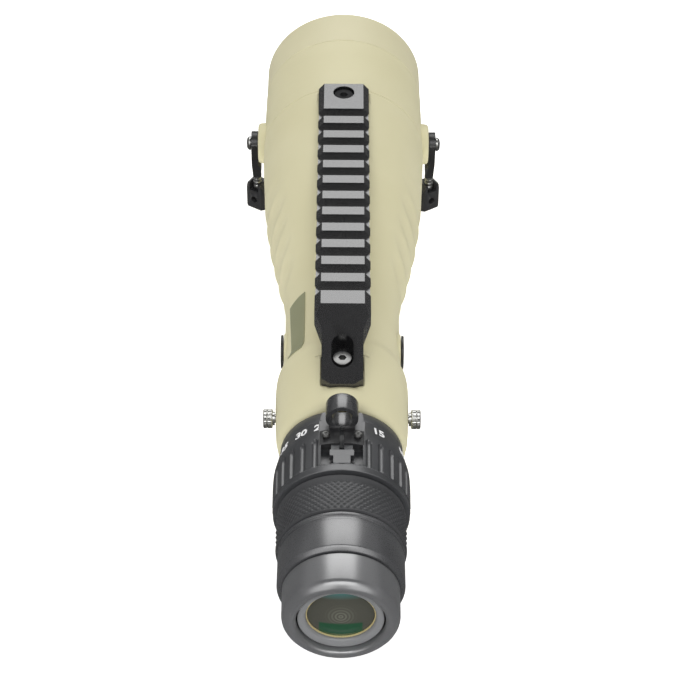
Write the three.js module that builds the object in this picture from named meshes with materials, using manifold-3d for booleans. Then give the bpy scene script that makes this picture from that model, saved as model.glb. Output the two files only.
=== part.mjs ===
// Spotting scope, 322 mm long, modelled as an assembly of separate pieces.
// Units are millimetres. +Y points at the view, +Z is up, and the origin is the middle of the mounting
// foot's underside. Everything but the origin is given from the optical axis, AXIS_HEIGHT above the foot.
import * as THREE from 'three';
import { mergeVertices } from 'three/addons/utils/BufferGeometryUtils.js';
import Module from 'manifold-3d';

const wasm = await Module();
wasm.setup();

// Driving dimensions
const AXIS_HEIGHT = 43;
const FRONT_Y = 132.6;
const LENGTH = 322;
const REAR_Y = FRONT_Y - LENGTH;
const GAP = 0.3;

// Seams along the axis, front to rear
const HOOD_SEAM_Y = 111.5;
const HOUSING_SEAM_Y = 75.05;
const BODY_REAR_Y = -107;
const ZOOM_FRONT_Y = -108.2;
const ZOOM_REAR_Y = -139.9;
const FOCUS_FRONT_Y = -141;
const FOCUS_REAR_Y = -157;
const DIOPTRE_REAR_Y = -174.4;

// Radii that neighbours share
const HOOD_R = 34.4;
const HOOD_SLEEVE_R = 32.2;
const HOUSING_BORE_R = 32.5;
const CELL_R = 30.6;
const OBJECTIVE_R = 29.1;
const NECK_R = 22.5;
const NECK_BORE_R = 19.6;
const FLANGE_R = 19.3;
const TUBE_R = 19;
const TUBE_BORE_R = 15.2;
const TUBE_TAIL_R = 16.4;
const CAM_R = 14.9;
const ZOOM_LENS_R = 11.8;
const CUP_SLEEVE_R = 18.7;
const CUP_BORE_R = 16.9;
const EYE_LENS_R = 11.7;

// Half widths of the prism cage
const CAGE = { outer: 13, inner: 11 };

// Accessory rail
const RAIL_TOP_Z = 38.3;
const RAIL_TOP_WIDTH = 16.5;
const RAIL_WIDTH = 21.2;
const RAIL_SHOULDER = 2.74;
const RAIL_DEPTH = 5.3;
const RAIL_FRONT_Y = 72.9;
const FIRST_LUG_Y = 50;
const SLOT_PITCH = 10.01;
const SLOT_WIDTH = 5.23;
const SLOT_DEPTH = 3;
const SLOT_COUNT = 12;
const RAIL_FLAT_END_Y = -67.4;
const TAIL_WIDE_END_Y = -70.4;
const TAIL_NECK_Y = -77;
const TAIL_END_Y = -98;
const TAIL_END_Z = 26;
const TAIL_WIDTH = 15.5;
const RAIL_SCREW_FRONT_Y = 66.7;
const RAIL_SCREW_REAR_Y = -86.2;
const TAIL_POCKET = { front: -79.3, rear: -91.9, width: 8.2, floor: 24.7 };

// Seat that the rail lies in, from its front end to its rear end
const SEAT = [[RAIL_FRONT_Y + 0.3, 32.7], [-65.7, 32.7], [-80.3, 22.9], [TAIL_END_Y - 0.3, 22.9]];

// Mounting foot
const FOOT = { length: 76, width: 38, top: -35.3, lip: 2, waist: 30, waistZ: -38.5, screwY: 26, socketY: 12 };
const PAD = { length: 74, width: 29, top: -18 };

// Side fittings, given for the right side
const SWIVEL_Y = 84;
const SWIVEL_Z = -1.7;
const BOSS_R = 8.6;
const BOSS_X = 37.4;
const ARM_X = [37.7, 40.5];
const ARM_BEND_Z = -10;
const ARM_END_Z = -17.5;
const PIN_X = 38.4;
const KEEPER = { width: 9.4, depth: 6, top: -21.2, bottom: -36.4, toe: THREE.MathUtils.degToRad(32) };
const PORT_CAP = { y: -53, r: 6.55, seatX: 22.7, outerX: 23.9, stubR: 3.5 };
const THUMBSCREW = { y: -90, shankR: 1.6, neckR: 2.3, headR: 3.7, neckX: 25.3, headX: 26.6, outerX: 29.6 };

// Throw lever on the zoom ring
const LEVER = { z: 27.5, r: 5.9, bore: 4.03, front: -110.2, rear: -117.7, baseZ: 21.7, topZ: 24.2, slit: 1.7 };
const LEVER_SCREW = { x: 5.8, y: -122.6, r: 1.4, shankR: 0.8 };

// Segments around a turned piece
const ROUND = 28;
const INNER_ROUND = 16;
const SMALL_ROUND = 16;
const TINY_ROUND = 10;

// Sides of a hexagon socket
const HEX = 6;

const finish = {
  tan: { color: 0xd3cda9, roughness: 0.55, metalness: 0.05 },
  blackAnodised: { color: 0x1d1e20, roughness: 0.45, metalness: 0.6 },
  greyAnodised: { color: 0x4c4d50, roughness: 0.4, metalness: 0.6 },
  rubber: { color: 0x55565a, roughness: 0.7, metalness: 0 },
  steel: { color: 0xc4c4c2, roughness: 0.3, metalness: 1 },
  plastic: { color: 0x202124, roughness: 0.5, metalness: 0 },
  olive: { color: 0x9b9d7c, roughness: 0.6, metalness: 0 },
  matteBlack: { color: 0x111213, roughness: 0.9, metalness: 0.1 },
  glass: { color: 0xcfe0d8, roughness: 0.05, metalness: 0 },
};

// ---------------------------------------------------------------- solids

function toSolid(geometry) {
  geometry.deleteAttribute('normal');
  geometry.deleteAttribute('uv');
  const merged = mergeVertices(geometry, 1e-4);
  const corners = merged.getAttribute('position').array;
  const index = merged.getIndex().array;
  const triangles = [];
  for (let i = 0; i < index.length; i += 3) {
    const [a, b, c] = [index[i], index[i + 1], index[i + 2]];
    if (a !== b && b !== c && c !== a) {
      triangles.push(a, b, c);
    }
  }
  const mesh = { numProp: 3, vertProperties: Float32Array.from(corners), triVerts: Uint32Array.from(triangles) };
  return new wasm.Manifold(new wasm.Mesh(mesh));
}

function toGeometry(solid) {
  const mesh = solid.getMesh();
  const geometry = new THREE.BufferGeometry();
  geometry.setAttribute('position', new THREE.BufferAttribute(new Float32Array(mesh.vertProperties), 3));
  geometry.setIndex(new THREE.BufferAttribute(new Uint32Array(mesh.triVerts), 1));
  geometry.computeVertexNormals();
  return geometry;
}

// A piece turned about the Y axis from an outline of [radius, y] points.
function turned(outline, segments = ROUND) {
  const points = outline.map(([radius, y]) => new THREE.Vector2(radius, y));
  if (outline[0][0] > 0) {
    points.push(points[0].clone());
  }
  if (THREE.ShapeUtils.area(points) < 0) {
    points.reverse();
  }
  return toSolid(new THREE.LatheGeometry(points, segments));
}

function ring(outerR, innerR, rearY, frontY, segments = ROUND) {
  return turned([[innerR, rearY], [outerR, rearY], [outerR, frontY], [innerR, frontY]], segments);
}

// A cylinder along X, Y or Z between two places on that axis.
function rod(axis, radius, from, to, at, segments = SMALL_ROUND) {
  const geometry = new THREE.CylinderGeometry(radius, radius, Math.abs(to - from), segments);
  const middle = new THREE.Vector3(...at);
  middle[axis] = (from + to) / 2;
  if (axis === 'x') {
    geometry.rotateZ(Math.PI / 2);
  }
  if (axis === 'z') {
    geometry.rotateX(Math.PI / 2);
  }
  geometry.translate(middle.x, middle.y, middle.z);
  return toSolid(geometry);
}

function block([x0, x1], [y0, y1], [z0, z1]) {
  const geometry = new THREE.BoxGeometry(x1 - x0, y1 - y0, z1 - z0);
  geometry.translate((x0 + x1) / 2, (y0 + y1) / 2, (z0 + z1) / 2);
  return toSolid(geometry);
}

function plate(outline, depth) {
  const shape = new THREE.Shape(outline.map(([u, v]) => new THREE.Vector2(u, v)));
  return new THREE.ExtrudeGeometry(shape, { depth, bevelEnabled: false });
}

// An outline of [y, z] points, extruded along X about the middle plane or from x.
function slabX(outline, width, x = -width / 2) {
  const geometry = plate(outline, width);
  geometry.rotateY(Math.PI / 2);
  geometry.rotateX(Math.PI / 2);
  geometry.translate(x, 0, 0);
  return toSolid(geometry);
}

// An outline of [x, z] points, extruded along Y.
function slabY(outline, rearY, frontY) {
  const geometry = plate(outline, frontY - rearY);
  geometry.rotateX(Math.PI / 2);
  geometry.translate(0, frontY, 0);
  return toSolid(geometry);
}

// An outline of [x, y] points, extruded along Z.
function slabZ(outline, lowZ, highZ) {
  const geometry = plate(outline, highZ - lowZ);
  geometry.translate(0, 0, lowZ);
  return toSolid(geometry);
}

function joinAll(first, ...others) {
  return others.reduce((sum, solid) => sum.add(solid), first);
}

function cutAll(first, ...tools) {
  return tools.reduce((rest, tool) => rest.subtract(tool), first);
}

const optics = new THREE.Group();
optics.position.z = AXIS_HEIGHT;

function piece(name, solid, look) {
  const mesh = new THREE.Mesh(toGeometry(solid), new THREE.MeshStandardMaterial(finish[look]));
  mesh.name = name;
  optics.add(mesh);
  return mesh;
}

// A lens with a straight rim and two faces bulging by the given heights; a negative height is hollow.
function lens(radius, rearY, frontY, rearBulge, frontBulge, steps = 3) {
  const outline = [[0, rearY - rearBulge]];
  for (let i = 1; i <= steps; i += 1) {
    const part = i / steps;
    outline.push([radius * part, rearY - rearBulge * (1 - part * part)]);
  }
  for (let i = steps; i >= 0; i -= 1) {
    const part = i / steps;
    outline.push([radius * part, frontY + frontBulge * (1 - part * part)]);
  }
  return turned(outline, INNER_ROUND);
}

// ---------------------------------------------------------------- body

function makeBodyShell() {
  const skin = turned([
    [0, BODY_REAR_Y], [21.6, BODY_REAR_Y], [23.6, -105.6], [24.4, -102], [24.8, -96], [25.2, -80],
    [25, -74.3], [23.5, -68.8], [NECK_R, -64.3], [NECK_R, -34.3], [23, -28.3], [24.1, -22.3], [26.9, -10],
    [29.1, 2.6], [31, 15.4], [32.5, 28.6], [33.5, 46], [34.5, 66], [34.7, HOUSING_SEAM_Y - GAP],
    [0, HOUSING_SEAM_Y - GAP],
  ]);
  const hollow = turned([
    [0, BODY_REAR_Y - 1], [NECK_BORE_R, BODY_REAR_Y - 1], [NECK_BORE_R, -34.3], [20.2, -28.3], [21.3, -22.3],
    [24.1, -10], [26.3, 2.6], [28.2, 15.4], [29.6, 42], [29.9, 55], [29.9, 70.5], [31, 70.5],
    [31, HOUSING_SEAM_Y + 1], [0, HOUSING_SEAM_Y + 1],
  ]);
  const seatFront = SEAT[0][0];
  const [bendY, topZ] = SEAT[1];
  const [footY, lowZ] = SEAT[2];
  const spine = slabX([[66, 12], [66, topZ], [bendY, topZ], [footY, lowZ], [footY, 12]], 15);
  const pad = block([-PAD.width / 2, PAD.width / 2], [-PAD.length / 2, PAD.length / 2],
    [FOOT.top + GAP, PAD.top]);
  const wideSeat = slabX([[seatFront, topZ], [seatFront, 45], [bendY, 45], [bendY, topZ]], RAIL_WIDTH + 0.8);
  const tailSeat = slabX([[bendY + 1, 45], [bendY + 1, topZ], [bendY, topZ], [footY, lowZ],
    [SEAT[3][0], lowZ], [SEAT[3][0], 45]], TAIL_WIDTH + 0.8);
  const shoulderSeat = slabX([[bendY + 1, 45], [bendY + 1, topZ], [bendY, topZ], [footY, lowZ], [footY, 45]],
    RAIL_WIDTH + 0.8);
  const capSeats = rod('x', 7.2, -PORT_CAP.seatX, PORT_CAP.seatX, [0, PORT_CAP.y, 0]);
  const solid = cutAll(
    joinAll(skin, spine, pad, capSeats),
    hollow, wideSeat, tailSeat, shoulderSeat,
    rod('z', 2.6, 20, 45, [0, RAIL_SCREW_FRONT_Y, 0], TINY_ROUND),
    rod('z', 2, 15, 30, [0, RAIL_SCREW_REAR_Y, 0], TINY_ROUND),
    rod('z', 2.4, -45, -27, [0, FOOT.screwY, 0], TINY_ROUND),
    rod('z', 2.4, -45, -27, [0, -FOOT.screwY, 0], TINY_ROUND),
    rod('x', PORT_CAP.stubR + GAP, -30, 30, [0, PORT_CAP.y, 0]),
    rod('x', THUMBSCREW.shankR + GAP, -30, 30, [0, THUMBSCREW.y, 0], TINY_ROUND),
  );
  piece('body_shell', solid, 'tan');
}

function makeFrontHousing() {
  const shell = turned([
    [34.7, HOUSING_SEAM_Y], [34.6, 90], [34.5, HOOD_SEAM_Y - GAP], [HOUSING_BORE_R, HOOD_SEAM_Y - GAP],
    [HOUSING_BORE_R, 88], [CELL_R + GAP, 88], [CELL_R + GAP, 79], [28.4, 79], [28.4, 72.2], [30.7, 72.2],
    [30.7, HOUSING_SEAM_Y],
  ]);
  let solid = shell;
  for (const side of [-1, 1]) {
    const boss = rod('x', BOSS_R, side * 32.8, side * BOSS_X, [0, SWIVEL_Y, SWIVEL_Z]);
    const hole = rod('x', 1.7, side * 35, side * (BOSS_X + 1), [0, SWIVEL_Y, SWIVEL_Z], TINY_ROUND);
    solid = solid.add(boss).subtract(hole);
  }
  piece('front_housing', solid, 'tan');
  piece('housing_seal', ring(30.5, 29.7, 70.8, 71.9, INNER_ROUND), 'rubber');
}

function makeSunshade() {
  const solid = turned([
    [HOOD_R, HOOD_SEAM_Y], [HOOD_R, FRONT_Y - 1.2], [HOOD_R - 0.8, FRONT_Y], [32.6, FRONT_Y], [32.4, 113],
    [30.9, 111.2], [30.9, 90], [HOOD_SLEEVE_R, 90], [HOOD_SLEEVE_R, HOOD_SEAM_Y],
  ]);
  piece('sunshade', solid, 'tan');
}

function makeObjective() {
  const cell = turned([
    [CELL_R, 79.3], [CELL_R, 106], [OBJECTIVE_R + GAP, 106], [OBJECTIVE_R + GAP, 82], [27, 82], [27, 79.3],
  ], INNER_ROUND);
  piece('objective_cell', cell, 'matteBlack');
  piece('objective_lens_rear', lens(OBJECTIVE_R, 82.3, 86.3, 1.6, -3.2), 'glass');
  piece('objective_spacer', ring(OBJECTIVE_R, 28.2, 86.6, 87.4, INNER_ROUND), 'blackAnodised');
  piece('objective_lens_front', lens(OBJECTIVE_R, 87.7, 93.7, 2.6, 4), 'glass');
  piece('objective_retaining_ring', ring(OBJECTIVE_R, 26.9, 94.8, 98, INNER_ROUND), 'blackAnodised');
}

function makeInside() {
  const baffle = turned([[29.2, 48], [29.2, 52], [28.4, 52], [28.4, 49], [22, 49], [22, 48]], INNER_ROUND);
  piece('light_baffle', baffle, 'matteBlack');
  const focusCell = turned([[21, 8], [21, 20], [18.6, 20], [18.6, 10], [15, 10], [15, 8]], INNER_ROUND);
  piece('focus_cell', focusCell, 'matteBlack');
  piece('focus_lens', lens(18.3, 10.3, 15, -1.2, 1.6), 'glass');
  piece('focus_push_rod', rod('y', 1.1, -142.7, 7.7, [0, 0, -17.5], 8), 'steel');
  piece('focus_nut', ring(18.6, TUBE_TAIL_R + 2 * GAP, -147, -143, INNER_ROUND), 'steel');

  const half = CAGE.outer;
  const inner = CAGE.inner;
  const cage = block([-half, half], [-52, -17], [-half, half])
    .subtract(block([-inner, inner], [-60, -10], [-inner, inner]));
  piece('prism_cage', cage, 'matteBlack');
  const side = inner - GAP;
  const roof = slabX([[-51, -side], [-51, side], [-42, side], [-33.6, 0], [-33.6, -side]], side * 2);
  const halfPrism = slabX([[-41.2, side], [-33.2, 0.6], [-33.2, -side], [-18, -side], [-18, side]], side * 2);
  piece('roof_prism', roof, 'glass');
  piece('half_prism', halfPrism, 'glass');
  const rodNotch = block([-1.5, 1.5], [-80, -70], [-24, -16.1]);
  piece('field_stop', ring(NECK_BORE_R - GAP, 9, -75, -73, INNER_ROUND).subtract(rodNotch), 'matteBlack');
}

function makeRail() {
  const half = RAIL_WIDTH / 2;
  const topHalf = RAIL_TOP_WIDTH / 2;
  const shoulderZ = RAIL_TOP_Z - RAIL_SHOULDER;
  const bottomZ = RAIL_TOP_Z - RAIL_DEPTH;
  const bottomHalf = half - (shoulderZ - bottomZ);
  const section = [[-bottomHalf, bottomZ], [bottomHalf, bottomZ], [half, shoulderZ], [topHalf, RAIL_TOP_Z],
    [-topHalf, RAIL_TOP_Z], [-half, shoulderZ]];
  const straight = slabY(section, -65.8, RAIL_FRONT_Y);

  // The tail's side view, and its plan with the narrowed end and cut corners.
  const side = slabX([[-65.5, bottomZ], [-65.5, RAIL_TOP_Z], [RAIL_FLAT_END_Y, RAIL_TOP_Z],
    [TAIL_END_Y, TAIL_END_Z], [TAIL_END_Y, 23.2], [-80.4, 23.2], [-66, bottomZ]], RAIL_WIDTH);
  const narrow = TAIL_WIDTH / 2;
  const plan = slabZ([[-half, -60], [-half, TAIL_WIDE_END_Y], [-narrow, TAIL_NECK_Y], [-narrow, TAIL_END_Y + 2],
    [-narrow + 3.5, TAIL_END_Y], [narrow - 3.5, TAIL_END_Y], [narrow, TAIL_END_Y + 2], [narrow, TAIL_NECK_Y],
    [half, TAIL_WIDE_END_Y], [half, -60]], 20, 45);
  let solid = straight.add(side.intersect(plan));

  for (const edge of [-1, 1]) {
    const chamfer = slabY([[edge * topHalf, RAIL_TOP_Z], [edge * (half + 1), shoulderZ - 1.17],
      [edge * (half + 1), RAIL_TOP_Z + 1]], -100, -65);
    solid = solid.subtract(chamfer);
  }
  for (let k = 0; k < SLOT_COUNT; k += 1) {
    const front = FIRST_LUG_Y + SLOT_WIDTH - k * SLOT_PITCH;
    solid = solid.subtract(block([-20, 20], [front - SLOT_WIDTH, front], [RAIL_TOP_Z - SLOT_DEPTH, 45]));
  }
  const r = TAIL_POCKET.width / 2;
  solid = cutAll(
    solid,
    rod('z', 4.45, RAIL_TOP_Z - 3.6, 45, [0, RAIL_SCREW_FRONT_Y, 0], SMALL_ROUND),
    rod('z', 2.6, 30, 45, [0, RAIL_SCREW_FRONT_Y, 0], TINY_ROUND),
    rod('z', r, TAIL_POCKET.floor, 45, [0, TAIL_POCKET.front - r, 0]),
    rod('z', r, TAIL_POCKET.floor, 45, [0, TAIL_POCKET.rear + r, 0]),
    block([-r, r], [TAIL_POCKET.rear + r, TAIL_POCKET.front - r], [TAIL_POCKET.floor, 45]),
    rod('z', 2, 20, 45, [0, RAIL_SCREW_REAR_Y, 0], TINY_ROUND),
  );
  piece('rail', solid, 'blackAnodised');

  const frontHead = RAIL_TOP_Z - 3.6 + GAP;
  const frontScrew = rod('z', 4.1, frontHead, frontHead + 2.2, [0, RAIL_SCREW_FRONT_Y, 0])
    .add(rod('z', 2.2, 30.4, frontHead + 1, [0, RAIL_SCREW_FRONT_Y, 0], TINY_ROUND))
    .subtract(rod('z', 1.6, frontHead + 1, 45, [0, RAIL_SCREW_FRONT_Y, 0], HEX));
  piece('rail_screw_front', frontScrew, 'blackAnodised');
  const rearHead = TAIL_POCKET.floor + GAP;
  const rearScrew = rod('z', 3.6, rearHead, rearHead + 3, [0, RAIL_SCREW_REAR_Y, 0])
    .add(rod('z', 1.7, 20.2, rearHead + 1, [0, RAIL_SCREW_REAR_Y, 0], TINY_ROUND))
    .subtract(rod('z', 1.5, rearHead + 1.4, 45, [0, RAIL_SCREW_REAR_Y, 0], HEX));
  piece('rail_screw_rear', rearScrew, 'steel');
}

function makeFoot() {
  const half = FOOT.width / 2;
  const waist = FOOT.waist / 2;
  const bottom = -AXIS_HEIGHT;
  const section = [[-half, bottom], [half, bottom], [half, bottom + FOOT.lip], [waist, FOOT.waistZ],
    [waist, FOOT.top], [-waist, FOOT.top], [-waist, FOOT.waistZ], [-half, bottom + FOOT.lip]];
  let foot = slabY(section, -FOOT.length / 2, FOOT.length / 2);
  foot = foot.subtract(rod('z', 2.55, bottom - 1, FOOT.top + 1, [0, FOOT.socketY, 0], TINY_ROUND));
  const headBottom = bottom + 1.2;
  for (const [name, y] of [['foot_screw_front', FOOT.screwY], ['foot_screw_rear', -FOOT.screwY]]) {
    foot = cutAll(
      foot,
      rod('z', 4.2, bottom - 1, headBottom + 3, [0, y, 0]),
      rod('z', 2.3, bottom - 1, FOOT.top + 1, [0, y, 0], TINY_ROUND),
    );
    const screw = rod('z', 3.8, headBottom, headBottom + 2.7, [0, y, 0])
      .add(rod('z', 2, headBottom + 1, -29.5, [0, y, 0], TINY_ROUND))
      .subtract(rod('z', 1.5, headBottom - 1, headBottom + 1.5, [0, y, 0], HEX));
    piece(name, screw, 'blackAnodised');
  }
  piece('mounting_foot', foot, 'blackAnodised');
}

// Blank plate let into the neck's upper left flank.
function makeLabelPlate() {
  const plateR = NECK_R + GAP;
  const arc = [];
  const steps = 6;
  for (let i = 0; i <= steps; i += 1) {
    arc.push(THREE.MathUtils.degToRad(42 + 26 * (i / steps)));
  }
  const outer = arc.map((a) => [-(plateR + 0.5) * Math.sin(a), (plateR + 0.5) * Math.cos(a)]);
  const inner = arc.map((a) => [-plateR * Math.sin(a), plateR * Math.cos(a)]).reverse();
  piece('label_plate', slabY([...outer, ...inner], -63, -38), 'olive');
}

function makeSideFittings() {
  for (const [name, side] of [['left', -1], ['right', 1]]) {
    const across = (radius, from, to, at, segments) => rod('x', radius, side * from, side * to, at, segments);

    const capAt = [0, PORT_CAP.y, 0];
    const cap = across(PORT_CAP.r, PORT_CAP.seatX + GAP, PORT_CAP.outerX, capAt)
      .add(across(PORT_CAP.stubR, 20.4, PORT_CAP.outerX - 0.3, capAt));
    piece(`port_cap_${name}`, cap, 'plastic');

    const screwAt = [0, THUMBSCREW.y, 0];
    const thumbscrew = joinAll(
      across(THUMBSCREW.headR, THUMBSCREW.headX, THUMBSCREW.outerX, screwAt),
      across(THUMBSCREW.neckR, THUMBSCREW.neckX, THUMBSCREW.headX + 0.5, screwAt, TINY_ROUND),
      across(THUMBSCREW.shankR, FLANGE_R + GAP, THUMBSCREW.headX, screwAt, TINY_ROUND),
    );
    piece(`thumbscrew_${name}`, thumbscrew, 'steel');

    const pivot = [0, SWIVEL_Y, SWIVEL_Z];
    const screwHead = across(3, ARM_X[1] + GAP, 42.6, pivot);
    const slotCut = block(side > 0 ? [41.9, 44] : [-44, -41.9], [SWIVEL_Y - 5, SWIVEL_Y + 5],
      [SWIVEL_Z - 0.4, SWIVEL_Z + 0.4]);
    const swivelScrew = screwHead.add(across(1.4, 35.3, ARM_X[1] + 1, pivot, TINY_ROUND)).subtract(slotCut);
    piece(`swivel_screw_${name}`, swivelScrew, 'steel');

    const armSide = slabX([[SWIVEL_Y - 5.3, SWIVEL_Z + 2], [SWIVEL_Y - 4.2, ARM_END_Z],
      [SWIVEL_Y + 4.2, ARM_END_Z], [SWIVEL_Y + 5.3, SWIVEL_Z + 2]], 12, side > 0 ? 34 : -46);
    const armFront = slabY([
      [side * ARM_X[0], 5], [side * ARM_X[1], 5], [side * ARM_X[1], ARM_BEND_Z], [side * 40, ARM_END_Z],
      [side * 36.5, ARM_END_Z], [side * 36.5, ARM_BEND_Z - 2.2], [side * ARM_X[0], ARM_BEND_Z - 0.6],
    ], SWIVEL_Y - 8, SWIVEL_Y + 8);
    const arm = armSide.add(across(5.3, 34, 46, pivot)).intersect(armFront)
      .subtract(across(1.8, 30, 50, pivot, TINY_ROUND));
    piece(`swivel_arm_${name}`, arm, 'blackAnodised');

    const pinAt = [side * PIN_X, SWIVEL_Y, 0];
    piece(`swivel_pin_${name}`, rod('z', 1.7, ARM_END_Z - GAP, -24, pinAt, TINY_ROUND), 'steel');

    const [w, d] = [KEEPER.width / 2, KEEPER.depth / 2];
    const bevel = 1.2;
    const footprint = [[-w, -d + bevel], [-w + bevel, -d], [w - bevel, -d], [w, -d + bevel], [w, d - bevel],
      [w - bevel, d], [-w + bevel, d], [-w, d - bevel]];
    const keeper = cutAll(
      slabZ(footprint, KEEPER.bottom, KEEPER.top),
      rod('z', 2.1, -24.4, 0, [0, 0, 0], TINY_ROUND),
      rod('y', 1.6, -10, 10, [0, 0, -31.5], TINY_ROUND),
    ).rotate([0, 0, side * THREE.MathUtils.radToDeg(KEEPER.toe)]).translate([side * PIN_X, SWIVEL_Y, 0]);
    piece(`keeper_${name}`, keeper, 'plastic');
  }
}

// ---------------------------------------------------------------- eyepiece

// A sector of a ring, for the slot that the zoom ring's drive pin runs in.
function arcSlot(innerR, outerR, halfAngle, rearY, frontY) {
  const steps = 20;
  const outer = [];
  const inner = [];
  for (let i = 0; i <= steps; i += 1) {
    const a = -halfAngle + 2 * halfAngle * (i / steps);
    outer.push([outerR * Math.sin(a), outerR * Math.cos(a)]);
    inner.unshift([innerR * Math.sin(a), innerR * Math.cos(a)]);
  }
  return slabY([...outer, ...inner], rearY, frontY);
}

function makeEyepieceTube() {
  const tube = turned([
    [TUBE_TAIL_R, -172], [TUBE_TAIL_R, -139.6], [TUBE_R, -139.6], [TUBE_R, -106], [FLANGE_R, -106],
    [FLANGE_R, -84], [TUBE_BORE_R, -84], [TUBE_BORE_R, -172],
  ]);
  const pinSlot = arcSlot(14, 24, THREE.MathUtils.degToRad(96), -125.7, -122.3);
  const rodGroove = block([-1.5, 1.5], [-150, -80], [-24, -16.1]);
  piece('eyepiece_tube', cutAll(tube, pinSlot, rodGroove), 'blackAnodised');
  piece('zoom_cam_sleeve', ring(CAM_R, 14, -150, -90, INNER_ROUND), 'steel');
  piece('zoom_drive_pin', rod('z', 1.4, TUBE_BORE_R, TUBE_R, [0, -124, 0], TINY_ROUND), 'steel');
  for (const [name, y, bulge] of [['front', -120, -1], ['rear', -140, 1.4]]) {
    piece(`zoom_cell_${name}`, ring(13.5, ZOOM_LENS_R + GAP, y - 4, y + 4, INNER_ROUND), 'blackAnodised');
    piece(`zoom_lens_${name}`, lens(ZOOM_LENS_R, y - 2, y + 2, bulge, bulge), 'glass');
  }
  piece('eye_cell', ring(14.9, EYE_LENS_R + GAP, -184, -153, INNER_ROUND), 'blackAnodised');
  piece('field_lens', lens(EYE_LENS_R, -161, -157, 1.5, 0.8), 'glass');
  piece('eye_lens', lens(EYE_LENS_R, -184.6, -179, 1.9, 1.2), 'glass');
  piece('eye_lens_retainer', ring(14.9, 12.1, -186.9, -184.3, INNER_ROUND), 'blackAnodised');
}

function makeZoomRing() {
  const skin = turned([
    [FLANGE_R, ZOOM_FRONT_Y], [22.6, ZOOM_FRONT_Y], [22.8, -111.5], [23.6, -116.6], [24.75, -121.7],
    [25, -126.7], [24.9, -134], [24.65, ZOOM_REAR_Y], [FLANGE_R, ZOOM_REAR_Y],
  ]);
  const floor = LEVER.baseZ - GAP;
  const solid = cutAll(
    skin,
    block([-8.3, 8.3], [-127, -107], [floor, 40]),
    block([-7.5, 7.5], [-136.8, -126], [floor, 40]),
    rod('z', LEVER_SCREW.shankR + GAP, 10, 40, [-LEVER_SCREW.x, LEVER_SCREW.y, 0], TINY_ROUND),
    rod('z', LEVER_SCREW.shankR + GAP, 10, 40, [LEVER_SCREW.x, LEVER_SCREW.y, 0], TINY_ROUND),
  );
  piece('zoom_ring', solid, 'greyAnodised');

  const tubeAt = [0, 0, LEVER.z];
  const shank = rod('y', LEVER.r, LEVER.rear, LEVER.front, tubeAt);
  const neck = block([-4.6, 4.6], [-119, LEVER.front], [LEVER.baseZ, LEVER.z - 3]);
  const base = block([-8, 8], [-126.7, -118.2], [LEVER.baseZ, LEVER.topZ]);
  const tongue = block([-3.9, 3.9], [-131, -126.7], [LEVER.baseZ, LEVER.topZ]);
  const landZ = LEVER.topZ + 0.3;
  const bar = block([-4.35, 4.35], [-132.8, -129.9], [LEVER.baseZ, landZ]);
  const stem = block([-3.1, 3.1], [-136.5, -132.8], [LEVER.baseZ, landZ]);
  const lever = cutAll(
    joinAll(shank, neck, base, tongue, bar, stem),
    block([-10, 10], [-120, -105], [0, LEVER.baseZ]),
    rod('y', LEVER.bore, -118.1, -100, tubeAt),
    block([-LEVER.slit / 2, LEVER.slit / 2], [-129.9, -118], [10, 40]),
    rod('z', LEVER_SCREW.shankR + GAP, 10, 40, [-LEVER_SCREW.x, LEVER_SCREW.y, 0], TINY_ROUND),
    rod('z', LEVER_SCREW.shankR + GAP, 10, 40, [LEVER_SCREW.x, LEVER_SCREW.y, 0], TINY_ROUND),
  );
  piece('throw_lever', lever, 'blackAnodised');
  for (const [name, side] of [['left', -1], ['right', 1]]) {
    const at = [side * LEVER_SCREW.x, LEVER_SCREW.y, 0];
    const screw = rod('z', LEVER_SCREW.r, LEVER.topZ + GAP, LEVER.topZ + 1.4, at, TINY_ROUND)
      .add(rod('z', LEVER_SCREW.shankR, 19.8, LEVER.topZ + 0.8, at, TINY_ROUND));
    piece(`lever_screw_${name}`, screw, 'steel');
  }
}

function makeRearRings() {
  const focus = turned([
    [23.3, FOCUS_FRONT_Y], [23.6, -142], [23.2, FOCUS_REAR_Y], [TUBE_TAIL_R + GAP, FOCUS_REAR_Y],
    [TUBE_TAIL_R + GAP, -154.5], [18.9, -154.5], [18.9, FOCUS_FRONT_Y],
  ]);
  piece('focus_ring', focus, 'greyAnodised');
  const front = FOCUS_REAR_Y - GAP;
  const dioptre = turned([
    [22.4, front], [22.4, DIOPTRE_REAR_Y + 1.4], [21.4, DIOPTRE_REAR_Y], [19, DIOPTRE_REAR_Y], [19, -160.5],
    [TUBE_TAIL_R + GAP, -160.5], [TUBE_TAIL_R + GAP, front],
  ]);
  piece('dioptre_ring', dioptre, 'greyAnodised');
  const cupFront = DIOPTRE_REAR_Y - GAP;
  const cup = turned([
    [20.5, cupFront], [20.3, REAR_Y + 3], [19.6, REAR_Y + 0.9], [18.3, REAR_Y], [16.3, REAR_Y],
    [15.5, REAR_Y + 0.8], [15.4, -186.2], [CUP_BORE_R, -186.2], [CUP_BORE_R, -162], [CUP_SLEEVE_R, -162],
    [CUP_SLEEVE_R, cupFront],
  ]);
  piece('eyecup', cup, 'rubber');
}

makeBodyShell();
makeFrontHousing();
makeSunshade();
makeObjective();
makeInside();
makeRail();
makeFoot();
makeLabelPlate();
makeSideFittings();
makeEyepieceTube();
makeZoomRing();
makeRearRings();

const scope = new THREE.Group();
scope.add(optics);

export default scope;
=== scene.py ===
"""A 322 mm spotting scope: tan armoured body, slotted rail, zoom eyepiece, strap swivels."""
import math

import bmesh
import bpy
from mathutils import Matrix, Vector


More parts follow.
